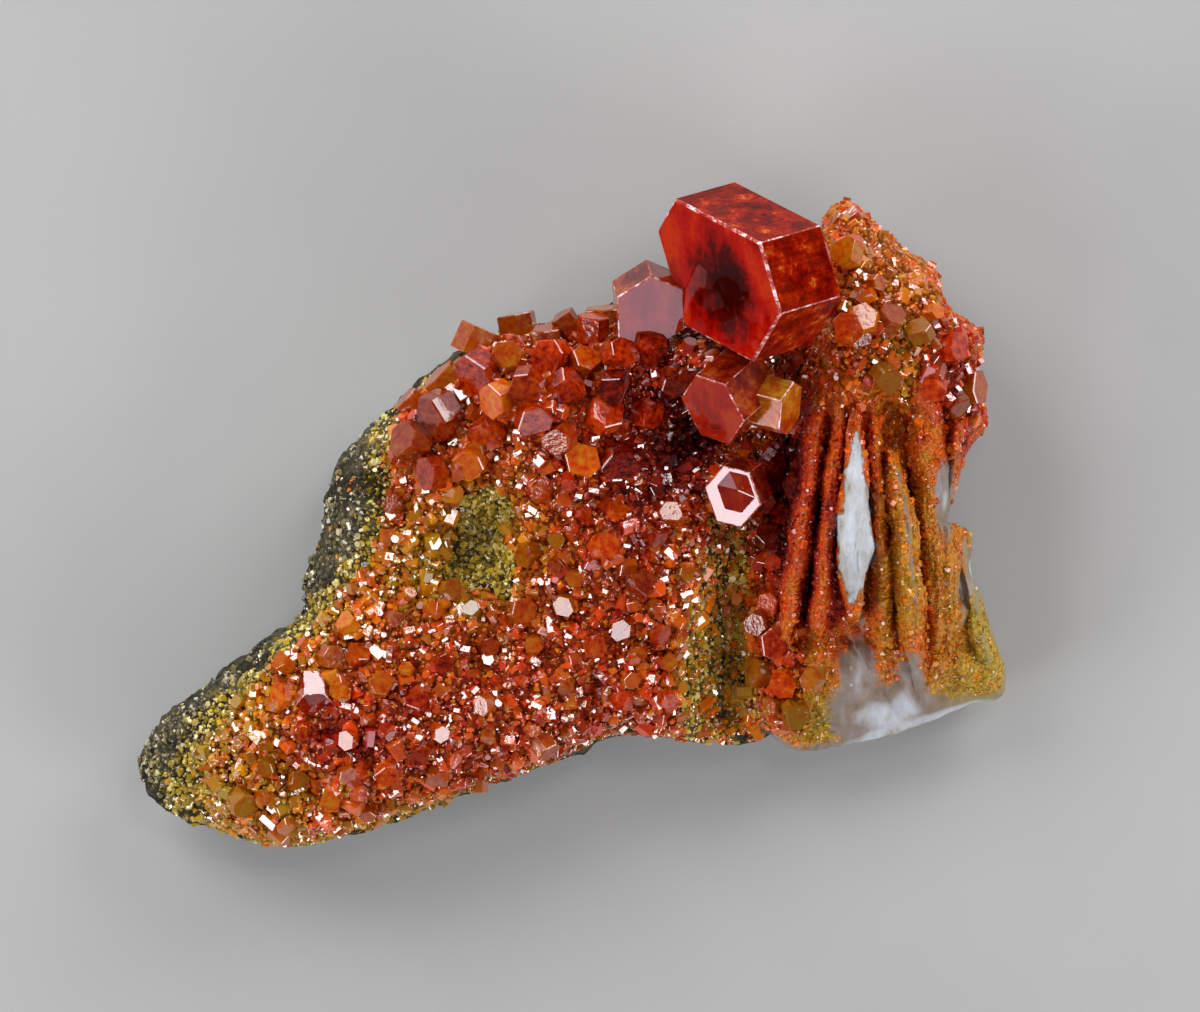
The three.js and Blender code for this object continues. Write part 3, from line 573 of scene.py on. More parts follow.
class Nodes:
    """A material under construction, with short ways to add the nodes that these looks are made of."""

    def __init__(self, name):
        self.material = bpy.data.materials.new(name)
        self.material.use_nodes = True
        self.tree = self.material.node_tree
        self.shader = self.tree.nodes["Principled BSDF"]
        self.output = self.tree.nodes["Material Output"]
        self.place = self.add("ShaderNodeTexCoord").outputs["Object"]

    def add(self, kind, **settings):
        """A new node of a kind, with its settings."""
        node = self.tree.nodes.new(kind)
        for key, value in settings.items():
            setattr(node, key, value)
        return node

    def give(self, socket, value):
        """Links a socket to another node's output, or sets it to a constant."""
        if isinstance(value, bpy.types.NodeSocket):
            self.tree.links.new(value, socket)
        else:
            socket.default_value = value

    def number(self, label):
        """A number that the mesh carries at each point."""
        return self.add("ShaderNodeAttribute", attribute_name=label).outputs["Fac"]

    def noise(self, per_mm, detail=3.0, roughness=0.55, stretch=None, kind="ShaderNodeTexNoise"):
        """Noise, or another texture, with a number of swells to the millimetre."""
        node = self.add(kind)
        node.inputs["Scale"].default_value = per_mm / MM
        if kind == "ShaderNodeTexNoise":
            node.inputs["Detail"].default_value = detail
            node.inputs["Roughness"].default_value = roughness
        self.give(node.inputs["Vector"], self.mapped((0, 0, 0), stretch) if stretch else self.place)
        return node.outputs[0]

    def mapped(self, shift, scale):
        """The place on the object, scaled along its axes and then shifted."""
        mapping = self.add("ShaderNodeMapping")
        for label, value in (("Vector", self.place), ("Location", shift), ("Scale", scale)):
            self.give(mapping.inputs[label], value)
        return mapping.outputs["Vector"]

    def ramp(self, factor, stops):
        """Colours along a factor. A single number stands for a grey."""
        node = self.add("ShaderNodeValToRGB")
        elements = node.color_ramp.elements
        while len(elements) < len(stops):
            elements.new(0.5)
        for element, (at, colour) in zip(elements, stops):
            element.position = at
            element.color = (*np.broadcast_to(colour, 3), 1)
        self.give(node.inputs["Fac"], factor)
        return node.outputs["Color"]

    def blend(self, a, b, factor, kind="MIX"):
        """Two colours mixed by a factor, or blended in another way."""
        node = self.add("ShaderNodeMix", data_type="RGBA", blend_type=kind)
        for value, k in ((factor, 0), (a, 6), (b, 7)):
            self.give(node.inputs[k], (*value, 1) if isinstance(value, tuple) else value)
        return node.outputs[2]

    def maths(self, kind, a, b):
        """A sum, product or the like of two numbers."""
        node = self.add("ShaderNodeMath", operation=kind)
        for socket, value in zip(node.inputs, (a, b)):
            self.give(socket, value)
        return node.outputs[0]

    def swayed(self, value, texture, middle, amount):
        """A value moved by how far a texture lies from its middle, times an amount."""
        sway = self.maths("MULTIPLY", self.maths("SUBTRACT", texture, middle), amount)
        return self.maths("ADD", value, sway)

    def warm(self, texture, middle, amount):
        """The vanadinite's colour at the warmth that the mesh carries, swayed by a texture."""
        return self.ramp(self.swayed(self.number("warmth"), texture, middle, amount), WARM_STOPS)

    def average(self, a, b, share):
        """A share of one value and the rest of another."""
        return self.maths("ADD", self.maths("MULTIPLY", a, share), self.maths("MULTIPLY", b, 1 - share))

    def stained(self, colour, stain, strength=1.0):
        """A colour multiplied by another."""
        return self.blend(colour, stain, strength, "MULTIPLY")

    def bump(self, height, depth_mm, strength):
        """Fine relief by shading alone, from a height and its depth."""
        node = self.add("ShaderNodeBump")
        for label, value in (("Strength", strength), ("Distance", depth_mm * MM), ("Height", height)):
            self.give(node.inputs[label], value)
        self.set(Normal=node.outputs["Normal"])

    def set(self, **values):
        """Fills the shader's sockets, whose names have spaces for the underscores."""
        for key, value in values.items():
            self.give(self.shader.inputs[key.replace("_", " ")], value)


WARM_STOPS = [
    (0.0, (0.26, 0.195, 0.016)), (0.16, (0.47, 0.27, 0.008)), (0.34, (0.59, 0.21, 0.005)),
    (0.5, (0.62, 0.105, 0.003)), (0.68, (0.52, 0.036, 0.002)), (0.84, (0.28, 0.008, 0.001)),
    (1.0, (0.07, 0.002, 0.001)),
]


def small_crystal_material(name, transmission, roughness, gloss, ior, clouds, spread):
    """Glossy prisms of one hue each, clouded inside by patches of lighter and darker colour."""
    m = Nodes(name)
    colour = m.warm(m.noise(clouds, 4, 0.65), 0.5, spread)
    shade = m.ramp(m.number("grain"), [(0, 0.6), (0.6, 0.95), (1, (1.5, 1.4, 1.3))])
    m.set(Base_Color=m.stained(colour, shade), Roughness=roughness, IOR=ior,
          Transmission_Weight=transmission, Specular_IOR_Level=gloss)
    m.bump(m.noise(2.4, 3), 0.035, 0.5)
    return m.material


def skin_material():
    """The ground that the crystals stand in: their own colours, darkened in noise patches as painted shade of
    the deeper gaps between them.
    """
    m = Nodes("vanadinite_ground")
    # Painted shade: noise patches that multiply the colour down, standing for the shade in the gaps between
    # crystals.
    painted_gap_shade = m.ramp(m.noise(2.8, 3), [(0.4, (0.16, 0.14, 0.12)), (0.62, (0.6, 0.55, 0.5))])
    m.set(Base_Color=m.stained(m.warm(m.noise(1.6, 4), 0.45, 0.5), painted_gap_shade), Roughness=0.6, IOR=1.5,
          Specular_IOR_Level=0.1)
    m.bump(m.noise(3.5, kind="ShaderNodeTexVoronoi"), 0.16, 0.8)
    return m.material


def rock_material():
    """Black-brown rock with olive and grey patches, gritty at a fraction of a millimetre."""
    m = Nodes("rock")
    patches = m.ramp(m.noise(0.2, 5, 0.6), [
        (0.3, (0.014, 0.011, 0.006)), (0.44, (0.045, 0.037, 0.02)), (0.56, (0.125, 0.11, 0.065)),
        (0.66, (0.04, 0.033, 0.018)), (0.78, (0.19, 0.175, 0.12)),
    ])
    grain = m.ramp(m.noise(2.8, 4), [(0.35, 0.2), (0.56, 1), (0.7, (2.2, 2.0, 1.5))])
    rust = m.ramp(m.noise(1.2, 5, 0.7), [(0.4, (0.02, 0.003, 0.001)), (0.55, (0.13, 0.02, 0.003)),
                                         (0.66, (0.34, 0.11, 0.01))])
    m.set(Base_Color=m.blend(m.stained(patches, grain, 0.9), rust, m.number("rust")), Roughness=0.7, IOR=1.45,
          Specular_IOR_Level=0.2)
    m.bump(m.noise(2.4, 5, 0.65), 0.5, 1.0)
    return m.material


def grain_material():
    """Fine druse on the rock: from dark over grey to white by chance, and olive yellow where the crust
    is near."""
    m = Nodes("rock_druse")
    plain = m.ramp(m.number("grain"), [
        (0.0, (0.02, 0.016, 0.007)), (0.35, (0.075, 0.06, 0.024)), (0.65, (0.2, 0.165, 0.065)),
        (0.88, (0.36, 0.3, 0.14)), (1.0, (0.62, 0.56, 0.36)),
    ])
    yellow = m.ramp(m.number("grain"), [
        (0.0, (0.1, 0.065, 0.008)), (0.35, (0.38, 0.25, 0.014)), (0.75, (0.62, 0.44, 0.035)),
        (1.0, (0.86, 0.76, 0.3)),
    ])
    mask = m.ramp(m.swayed(m.number("warmth"), m.noise(0.5, 4), 0.5, 1.2), [(0.35, 0), (0.6, 1)])
    m.set(Base_Color=m.blend(plain, yellow, mask), Roughness=0.1, IOR=2.1, Specular_IOR_Level=0.3)
    m.bump(m.noise(5.0, 2), 0.02, 0.4)
    return m.material


def barite_material():
    """Barite: white where the number coat is far below 0, as on the broken blade, pinkish brown to bluish
    where it is near 0, and amber to orange, as the coating's warmth says, where it is near 1."""
    m = Nodes("barite")
    streaks = m.noise(1.1, 5, 0.6, stretch=(1, 0.16, 0.5))
    both = m.average(streaks, m.noise(0.3, 4), 0.5)
    pale = m.ramp(both, [
        (0.32, (0.18, 0.115, 0.055)), (0.44, (0.27, 0.2, 0.15)), (0.56, (0.32, 0.265, 0.255)),
        (0.7, (0.45, 0.45, 0.49)),
    ])
    pale = m.stained(pale, m.blend((1, 1, 1), (1.15, 1.12, 0.55), m.number("lemon")))
    white = m.ramp(both, [(0.36, (0.34, 0.28, 0.19)), (0.45, (0.5, 0.5, 0.49)), (0.62, (0.66, 0.71, 0.8))])
    bared = m.ramp(m.maths("ADD", m.number("coat"), 0.4), [(0, 1), (0.3, 0)])
    lemon_share = m.maths("MULTIPLY", m.number("lemon"), 0.55)
    amber = m.blend(m.warm(streaks, 0.5, 0.4), (0.44, 0.33, 0.05), lemon_share)
    grit = m.ramp(m.noise(3.2, 4, 0.7), [(0.38, (0.35, 0.3, 0.25)), (0.52, 1), (0.66, (1.6, 1.6, 1.5))])
    covered = m.ramp(m.swayed(m.number("coat"), m.noise(1.5, 6, 0.65), 0.5, 1.1), [(0.36, 0), (0.66, 1)])
    m.set(Base_Color=m.blend(m.blend(pale, white, bared), m.stained(amber, grit, 0.8), covered),
          Roughness=0.42, IOR=1.64, Specular_IOR_Level=0.25)
    m.bump(m.noise(2.6, 6, 0.65, stretch=(1, 0.22, 0.6)), 0.26, 0.9)
    return m.material


def clear_crystal_material(name, stops, flecks, density, transmission, tint, gloss, ior, shade_core=None):
    """A red crystal, clear enough to look into: part of its light passes through and is absorbed, and the
    rest comes back from clouds and streaks inside. The colour is darkened towards a given place inside and
    lightened a little away from it, as painted shade of the crystal's thick middle. The sides are striped
    along the prism, and show dark and golden flecks."""
    m = Nodes(name)
    both = m.average(m.noise(0.26, 5, 0.65), m.noise(0.75, 4, 0.7, stretch=(1, 0.18, 0.3)), 0.55)
    # Painted shade: the colour is pulled darker near the given place inside and a little lighter away from
    # it.
    if shade_core:
        both = m.swayed(both, m.noise(1.6, 5, 0.75), 0.5, 0.3)
        from_core = m.mapped([-c / r for c, r in zip(*shade_core)], [1 / (r * MM) for r in shade_core[1]])
        length = m.add("ShaderNodeVectorMath", operation="LENGTH")
        m.give(length.inputs[0], from_core)
        out = m.maths("MULTIPLY", m.maths("SUBTRACT", length.outputs["Value"], 1.0), 0.3)
        both = m.maths("ADD", both, m.maths("MINIMUM", out, 0.12))
    colour = m.ramp(both, stops)
    fleck = m.ramp(m.noise(0.6, 7, 0.75), flecks)
    colour = m.blend(colour, fleck, m.maths("MULTIPLY", m.number("side"), 0.75))
    gold = m.ramp(m.noise(0.5, 6, 0.7), AMBER_STOPS)
    colour = m.blend(colour, gold, m.number("amber"))
    stripes = m.add("ShaderNodeTexNoise", noise_dimensions="1D")
    for label, value in (("Scale", 3.4), ("Detail", 6), ("W", m.number("across"))):
        m.give(stripes.inputs[label], value)
    shade = m.ramp(stripes.outputs[0], [(0.36, 0.4), (0.5, 1), (0.62, (1.3, 1.5, 1.5))])
    colour = m.stained(colour, shade, m.maths("MULTIPLY", m.number("side"), 0.35))
    m.set(Base_Color=colour, Roughness=0.03, IOR=ior, Transmission_Weight=transmission,
          Specular_IOR_Level=gloss, Specular_Tint=(*tint, 1))
    m.bump(m.maths("MULTIPLY", stripes.outputs[0], m.number("side")), 0.1, 0.12)
    absorb = m.add("ShaderNodeVolumeAbsorption")
    absorb.inputs["Color"].default_value = (0.95, 0.09, 0.02, 1)
    absorb.inputs["Density"].default_value = density
    m.give(m.output.inputs["Volume"], absorb.outputs["Volume"])
    return m.material


def edge_material():
    """The light-catching edges of the large crystals: red, with pinkish-white glints painted into the colour
    in noise patches as painted highlights.
    """
    m = Nodes("vanadinite_edge_painted_glint")
    # Painted highlights: the lighter stops of this ramp paint pinkish-white glints along the chamfers.
    glint = m.ramp(m.noise(1.1, 5, 0.7), [
        (0.4, (0.3, 0.006, 0.003)), (0.5, (0.5, 0.05, 0.03)), (0.56, (0.8, 0.45, 0.42)),
        (0.62, (0.92, 0.85, 0.85)),
    ])
    m.set(Base_Color=glint, Roughness=0.25, IOR=1.8)
    m.bump(m.noise(4.0, 3), 0.03, 0.5)
    return m.material


RUBY_STOPS = [(0.32, (0.03, 0.001, 0.001)), (0.42, (0.12, 0.002, 0.001)), (0.5, (0.34, 0.003, 0.001)),
              (0.58, (0.5, 0.006, 0.002)), (0.7, (0.62, 0.035, 0.003))]
RUBY_FLECKS = [(0.4, (0.02, 0.001, 0.001)), (0.5, (0.2, 0.005, 0.001)), (0.59, (0.46, 0.02, 0.002)),
               (0.64, (0.7, 0.14, 0.008)), (0.68, (0.8, 0.42, 0.04))]
DUSK_STOPS = [(0.34, (0.12, 0.004, 0.002)), (0.5, (0.45, 0.016, 0.003)), (0.66, (0.62, 0.09, 0.008))]
DUSK_FLECKS = [(0.4, (0.12, 0.004, 0.002)), (0.52, (0.45, 0.03, 0.004)), (0.64, (0.66, 0.2, 0.02))]
AMBER_STOPS = [(0.36, (0.4, 0.03, 0.003)), (0.5, (0.62, 0.15, 0.008)), (0.62, (0.78, 0.4, 0.03))]
CRYSTAL_SMALL = small_crystal_material("vanadinite_small", transmission=0.0, roughness=0.08, gloss=0.5,
                                       ior=2.35, clouds=1.3, spread=0.42)
CRYSTAL_COAT = small_crystal_material("vanadinite_coat", transmission=0.0, roughness=0.16, gloss=0.22,
                                      ior=2.35, clouds=1.3, spread=0.42)
CRYSTAL_OWN = small_crystal_material("vanadinite_prisms", transmission=0.35, roughness=0.04, gloss=0.35,
                                     ior=1.9, clouds=1.9, spread=1.1)
SKIN = skin_material()
STONE = rock_material()
GRAINS = grain_material()
PAINTED_EDGE_GLINT = edge_material()
PALE = barite_material()

# The rock: its shell with fine broken relief, and a sparkling druse on its bare places
points, triangles = shell(ROCK, 520, 114, 60, stony, underside, rock_rim)
x, y, z = points.T
edgewise = np.clip((ROCK.share(x, y) - 0.9) / 0.1, 0.2, 1)[:, None]
points = shaken(points, 0.38 * edgewise, 1.7, 2)
x, y, z = points.T
rust = bell(x, y, (12.5, 9), (6, 11), 1.6) * (z > 7)
put("rock_body", points, triangles, STONE, "rock", ("matrix_rock",), smooth=True, rust=np.clip(rust, 0, 1))


def covering(x, y):
    """How much of the rock beyond the main crust's outline small crystals still cover: all of it along
    the lower and upper edges and beside the barite, most of it in the gully, and on the bare side at the
    left less and less with the distance from the crust."""
    bearing = np.degrees(np.arctan2(y - CRUST.centre[1], x - CRUST.centre[0])) % 360
    bare_side = (bearing > 121) & (bearing < 211)
    gully = (x > 9.2) & (x < 15.6) & (y < -2.5)
    faded = np.clip(1 - (CRUST.share(x, y) - 0.99) / 0.11, 0, 1)
    return np.where(bare_side, faded, np.where(gully, 0.9, 1.15)) + 0.3 * noise(plan(x, y), 1.6, 15)


def olive(x, y):
    """How yellow the rock's own druse is: most beside the crust, in the gully and round the pit."""
    beside = 1.25 - 5.5 * np.maximum(CRUST.share(x, y) - 1, 0)
    beside = np.maximum(beside, bell(x, y, (12.2, -9), (4.5, 11), 1.3))
    pit = np.where(HOLE.share(x, y) < 1.3, 0.55 + 0.4 * HOLE.share(x, y) ** 2, 1)
    return np.clip(np.minimum(beside, pit), 0, 1)


def no_grains(x, y):
    """Under the crust, the barite and the large crystals, and in the dark gaps between clumps of grains."""
    inside = (CRUST.share(x, y) < 0.97) & (HOLE.share(x, y) >= 1)
    gap = rough(plan(x, y), 1.5, 2, 61) > mix(0.72, 0.95, olive(x, y)) - 0.2 * (x < -25)
    gap |= (x > 8.5) & (x < 18) & (y > 0)
    return inside | (BARITE.share(x, y) < 0.95) | gap


coarse = druse(ROCK, 0.5, 0.998, (0.14, 0.3), (0.3, 1.2), 1.6, 5001, stony_top, 0.06, no_grains)
fine = druse(ROCK, 0.32, 0.998, (0.08, 0.18), (0.3, 1.2), 1.6, 25001, stony_top, 0.06, no_grains)
in_pit = druse(HOLE, 0.34, 1.0, (0.12, 0.26), (0.3, 1.2), 1.6, 45001, stony_top, 0.06)
grown("rock_grains", together([coarse, in_pit]), GRAINS, "rock", bevel=0.12, hue=olive, spread=0.2)
grown("rock_sugar", fine, GRAINS, "rock", bevel=0.12, hue=olive, spread=0.2)

# The crusts: a ground of orange to red between the crystals, the solids' own crystals, and fine druse
CLUSTER = np.array([
    (-7.8, 13.6, 1.5, 1.7, 42, 1.5), (-4.2, 15.0, 1.3, 1.4, 110, 0.7), (0.0, 15.0, 1.0, 1.5, 150, 0.7),
    (1.6, 14.6, 1.1, 1.5, 70, 1.3), (2.6, 15.8, 1.3, 1.0, 80, 0.9), (-7.2, 11.6, 1.6, 1.3, 280, 0.9),
    (-10.0, 8.2, 1.75, 1.5, 210, 0.8), (-12.6, 6.0, 1.5, 1.2, 170, 1.1), (-1.4, 12.6, 1.35, 1.4, 240, 0.8),
    (3.9, 12.8, 1.15, 1.3, 340, 0.7), (3.6, 10.6, 1.1, 1.2, 270, 0.4), (0.8, 4.4, 1.25, 1.2, 100, 0.6),
    (3.7, 4.5, 1.5, 0.9, 300, 0.5), (6.0, 8.4, 1.15, 1.0, 330, 0.6), (1.0, 12.2, 1.1, 1.0, 20, 0.6),
    (-3.5, 10.5, 1.25, 1.2, 250, 1.0), (-10.2, 10.8, 1.3, 0.9, 140, 0.9), (-5.6, 9.4, 1.3, 1.1, 190, 0.5),
    (-3.0, 7.9, 1.3, 0.9, 330, 0.4), (2.6, 8.0, 1.4, 0.9, 60, 0.5), (-6.4, 6.9, 1.3, 1.0, 260, 0.6),
    (-8.0, 4.6, 1.3, 0.9, 230, 0.6), (-11.0, 3.6, 1.2, 0.9, 190, 0.7), (-1.9, 14.4, 1.3, 0.8, 90, 0.5),
    (-5.0, 12.6, 1.2, 1.0, 300, 0.6), (-0.6, 10.2, 1.2, 1.2, 10, 0.7), (-0.9, 6.3, 1.1, 0.9, 200, 0.5),
    (-12.9, 9.0, 1.1, 0.8, 150, 0.8), (6.4, 13.4, 1.2, 1.1, 40, 0.6), (8.0, 10.9, 1.1, 0.9, 350, 0.7),
])
cx, cy, size, stand, bearing, lean = CLUSTER.T
cluster = rooted(cx, cy, size, stand, np.radians(bearing), lean, 60 * chance(np.arange(len(CLUSTER)), 8),
                 crust_top(cx, cy) - ROOT, ROOT)


def no_prisms(x, y):
    """Where the main crust has none of its scattered prisms: the pit, the cluster and the large crystals."""
    pit = np.hypot((x - PIT[0]) / 3.4, (y - PIT[1]) / 4.6) < 1
    near_cluster = (y > 2.6) & (y < 16) & (x < 8.4) & (x > -13.4)
    return pit | near_cluster | (np.hypot(x - 14.5, y - 18) < 6) | (np.hypot(x - 12.4, y - 1.6) < 2.6)


OWN_PRISMS = {
    "crust": together([cluster, scattered(CRUST, 3.6, 0.97, (0.5, 1.0), (0.4, 1.1), 0.8, 11, no_prisms)]),
    "crest": scattered(CREST, 3.0, 0.97, (0.6, 1.35), (0.4, 1.0), 0.8, 901),
    "flank": scattered(FLANK, 2.5, 0.95, (0.6, 1.15), (0.4, 1.0), 0.7, 1801),
}
# Each crust's outline, points round it, and the numbers that its roughness and its druse start from
CRUSTS = (("crust", CRUST, 420, 3, 40001), ("crest", CREST, 220, 4, 90001), ("flank", FLANK, 220, 6, 140001))
CRUST_NODES = {"crust": "vanadinite_crust", "crest": "crest_crust", "flank": "flank_crust"}


def skin_top(x, y):
    """The ground between the crystals: below the crust's top, and dipping under the rock in the pit."""
    p = plan(x, y)
    bare = np.clip((1.08 - HOLE.share(x, y) - 0.12 * noise(p, 1.1, 5)) / 0.12, 0, 1)
    return crust_top(x, y) - 0.62 + 0.3 * rough(p, 1.3, 3, 7) - 1.6 * bare


for label, rim, count, seed, _ in CRUSTS:
    node = CRUST_NODES[label]
    rings = count // 4
    points, triangles = shell(rim, count, rings, rings // 4, skin_top,
                              lambda x, y: ground(x, y) - 0.8, lambda x, y: ground(x, y) - 0.5)
    points = shaken(points, 0.12, 0.9, seed)
    x, y, z = points.T
    put(label + "_ground", points, triangles, SKIN, "crust", (node,), smooth=True, warmth=warmth(x, y))
    grown(label + "_prisms", OWN_PRISMS[label], CRYSTAL_OWN, "crust", (node,), bevel=0.07,
          hue=lambda x, y: np.maximum(warmth(x, y), 0.36))


def patchy(x, y, k):
    """A number by chance, from 0 to 1, for each place: its coordinates are mixed by two large primes."""
    return chance(np.floor(x * 7919) + np.floor(y * 104729), k)


def off_crust(x, y):
    """Where the crust stops: in the pit, whose edge is moved in and out by noise."""
    return HOLE.share(x, y) < 0.9 + 0.4 * noise(plan(x, y), 0.9, 9)


def off_edge(x, y):
    """Where the crust's edge stops: under the crusts themselves, on the barite, and on bare rock."""
    inside = (CRUST.share(x, y) < 0.96) | (FLANK.share(x, y) < 0.95) | (BARITE.share(x, y) < 0.93)
    return inside | (patchy(x, y, 17) + 0.15 * noise(plan(x, y), 0.7, 16) > covering(x, y))


def edge_hue(x, y):
    """The edge's crystals are yellower than the crust, on the bare side most."""
    fall = np.clip((CRUST.share(x, y) - 0.97) / 0.1, 0, 1)
    return warmth(x, y) - np.where(x < -9, 0.3, 0.06) * fall


for label, rim, _, _, seed in CRUSTS:
    nodes = (CRUST_NODES[label],)
    coarse = druse(rim, 1.15, 0.99, (0.24, 0.62), (0.5, 1.9), 2.8, seed, skin_top, 0.1, off_crust)
    middle = druse(rim, 0.7, 1.0, (0.16, 0.36), (0.5, 2.2), 3.0, seed + 7, skin_top, 0.1, off_crust)
    fine = druse(rim, 0.47, 1.0, (0.07, 0.2), (0.3, 1.6), 2.0, seed + 13, skin_top, 0.05, off_crust)
    grown(label + "_druse", together([coarse, middle]), CRYSTAL_SMALL, "crust", nodes, bevel=0.06)
    grown(label + "_sugar", fine, CRYSTAL_COAT if label == "crest" else CRYSTAL_SMALL, "crust", nodes,
          shift=-0.1, spread=0.2)

edge = together([
    druse(ROCK, 1.05, 0.975, (0.22, 0.6), (0.5, 1.7), 2.0, 260001, stony_top, 0.1,
          lambda x, y: off_edge(x, y) | (covering(x, y) < 0.75)),
    druse(ROCK, 0.58, 0.985, (0.14, 0.34), (0.5, 1.8), 2.2, 290001, stony_top, 0.1, off_edge),
    druse(ROCK, 0.4, 0.99, (0.14, 0.34), (0.5, 1.8), 1.2, 310001, stony_top, 0.1,
          lambda x, y: off_edge(x, y) | (ROCK.share(x, y) < 0.92) | (covering(x, y) < 0.8)),
])
grown("edge_druse", edge, CRYSTAL_SMALL, "crust", bevel=0.08, hue=edge_hue, spread=0.18)
fine = druse(ROCK, 0.4, 0.985, (0.08, 0.2), (0.3, 1.6), 2.0, 330001, stony_top, 0.05, off_edge)
grown("edge_sugar", fine, CRYSTAL_SMALL, "crust", bevel=0.08, hue=edge_hue, spread=0.18)

# The barite: slab and fins as one relief, with the sugar that coats it


def barite_surface(x, y):
    """The higher of the slab and its fins, each with lumps that are drawn out along the fan."""
    p = plan(x, y * 0.3)
    slab = barite_relief(x, y) + 0.3 * rough(p, 1.4, 3, 21) + 0.3 * facets(x + 0.3 * y, y * 0.4, 1.3)
    return np.maximum(slab, fin_heights(x, y) + 0.24 * rough(p, 0.7, 3, 23))


def barite_skin(x, y):
    """The slab and fins inside, drawn down to the rim's height at the outline."""
    return mix(barite_rim(x, y), barite_surface(x, y), rounded(BARITE.share(x, y)))


def ridge_line(x, y):
    """1 on the ridges of the fifth and eighth fins, which are worn bare, and 0 off them."""
    line = np.zeros(np.shape(x))
    for k, low, high in ((4, -7, 4), (7, -12, -1.6)):
        away = (x - 0.35 - along_fin(k, y)[0]) / 0.3
        line = np.maximum(line, np.exp(-away**2) * (y > low) * (y < high))
    return line


def lemon(x, y):
    """How green-yellow the barite's right lobe is, most along its edge."""
    return np.clip(swells(x, y, 0, LEMON_PATCHES) - 0.1, 0, 1)


def groove(x, y):
    """How far a place lies below the fins beside it, from 0 to 1, over 2.4 mm of depth."""
    beside = np.maximum(fin_heights(x - 0.9, y), fin_heights(x + 0.9, y))
    return np.clip((beside - np.maximum(fin_heights(x, y), barite_relief(x, y))) / 2.4, 0, 1)


def coat(x, y):
    """Where amber sugar coats the barite, near 1, and where it is bare, near 0: bare on the broken top of
    the third fin, on the pale base, in a patch at the right and along the right lobe's edge."""
    line, _, half = along_fin(2, y)
    away = np.abs(x - line) / (half * (1 + 0.25 * lumps(x, y, 6)))
    p = plan(x, y)
    along = y + 0.9 * noise(p, 1.1, 71)
    out = np.where(along > -2.6, (along + 2.6) / 9.4, (-2.6 - along) / 4.2)
    taper = np.sqrt(np.clip(1 - out**2, 0, 1))
    on_top = np.clip((1.25 * taper - away - 0.1 + 0.22 * noise(p, 0.45, 73)) / 0.2, 0, 1)
    stem = np.exp(-((x - 22.6 + 0.1 * y) / 0.24) ** 2) * (y < -5.5) * np.clip((y + 10) / 3, 0, 1)
    worn = np.clip((BARITE.share(x, y) - 0.955) / 0.04, 0, 1) * 0.8 * (y < 0)
    level = 0.95 - 1.6 * on_top - 0.6 * stem - 0.55 * ridge_line(x, y)
    return swells(x, y, level, BARE_PATCHES) - worn + 0.16 * lumps(x, y, 4)


def barite_hue(x, y):
    """The coating's warmth: redder and darker down in the grooves, as painted shade, and yellower on the
    ridges between them, both most on the left fins.
    """
    left = np.clip((23.5 - x) / 3, 0.25, 1)
    painted_gap_shade = groove(x, y)
    # Painted shade: the warmth rises with the depth below the neighbouring fins, darkening the grooves, and
    # falls on the ridges.
    return warmth(x, y) + 0.02 + 0.17 * left * painted_gap_shade - 0.16 * left * (1 - painted_gap_shade) - 0.1 * lemon(x, y)


points, triangles = shell(BARITE, 460, 150, 40, barite_surface, underside, barite_rim)
points = shaken(points, 0.1, 1.1, 31)
x, y, z = points.T
above = np.clip((z - 3.0) / 2.5, 0, 1)
put("barite_body", points, triangles, PALE, "barite", ("barite_blades",), smooth=True,
    coat=coat(x, y) * above, warmth=barite_hue(x, y) - 0.02, lemon=lemon(x, y))


def bare_barite(x, y):
    """Where no sugar grows: below the crusts and rock, and where the coat plus a noise is less than half."""
    covered = ((CREST.share(x, y) < 0.99) | (FLANK.share(x, y) < 0.99)) & (skin_top(x, y) > barite_skin(x, y))
    covered |= (ROCK.share(x, y) < 1) & (stony_top(x, y) > barite_skin(x, y))
    return covered | (coat(x, y) + 0.35 * noise(plan(x, y), 0.6, 12) < 0.5)


def bare_rim(x, y):
    """All but the upper rim beyond the crest and the top of the fins."""
    upper = (CREST.share(x, y) > 0.93) & (CREST.share(x, y) < 1.5) & (y > 6.5)
    return ~upper | (patchy(x, y, 18) > 1.9 - 0.7 * CREST.share(x, y))


coarse = druse(BARITE, 0.43, 0.985, (0.1, 0.27), (0.15, 0.9), 1.6, 190001, barite_skin, 0.03, bare_barite)
fine = druse(BARITE, 0.33, 0.985, (0.06, 0.14), (0.1, 1.0), 1.6, 230001, barite_skin, 0.02, bare_barite)
grown("barite_grains", coarse, CRYSTAL_COAT, "barite", hue=barite_hue)
grown("barite_sugar", fine, CRYSTAL_COAT, "barite", hue=barite_hue)
rim = together([
    druse(BARITE, 0.8, 0.985, (0.2, 0.5), (0.4, 1.5), 1.6, 370001, barite_skin, 0.1, bare_rim),
    druse(BARITE, 0.42, 0.995, (0.12, 0.3), (0.4, 1.6), 1.6, 400001, barite_skin, 0.1, bare_rim),
])
grown("crest_rim_druse", rim, CRYSTAL_COAT, "barite", bevel=0.08, hue=lambda x, y: warmth(x, y) - 0.08)

# The large crystals
SECTION = 12


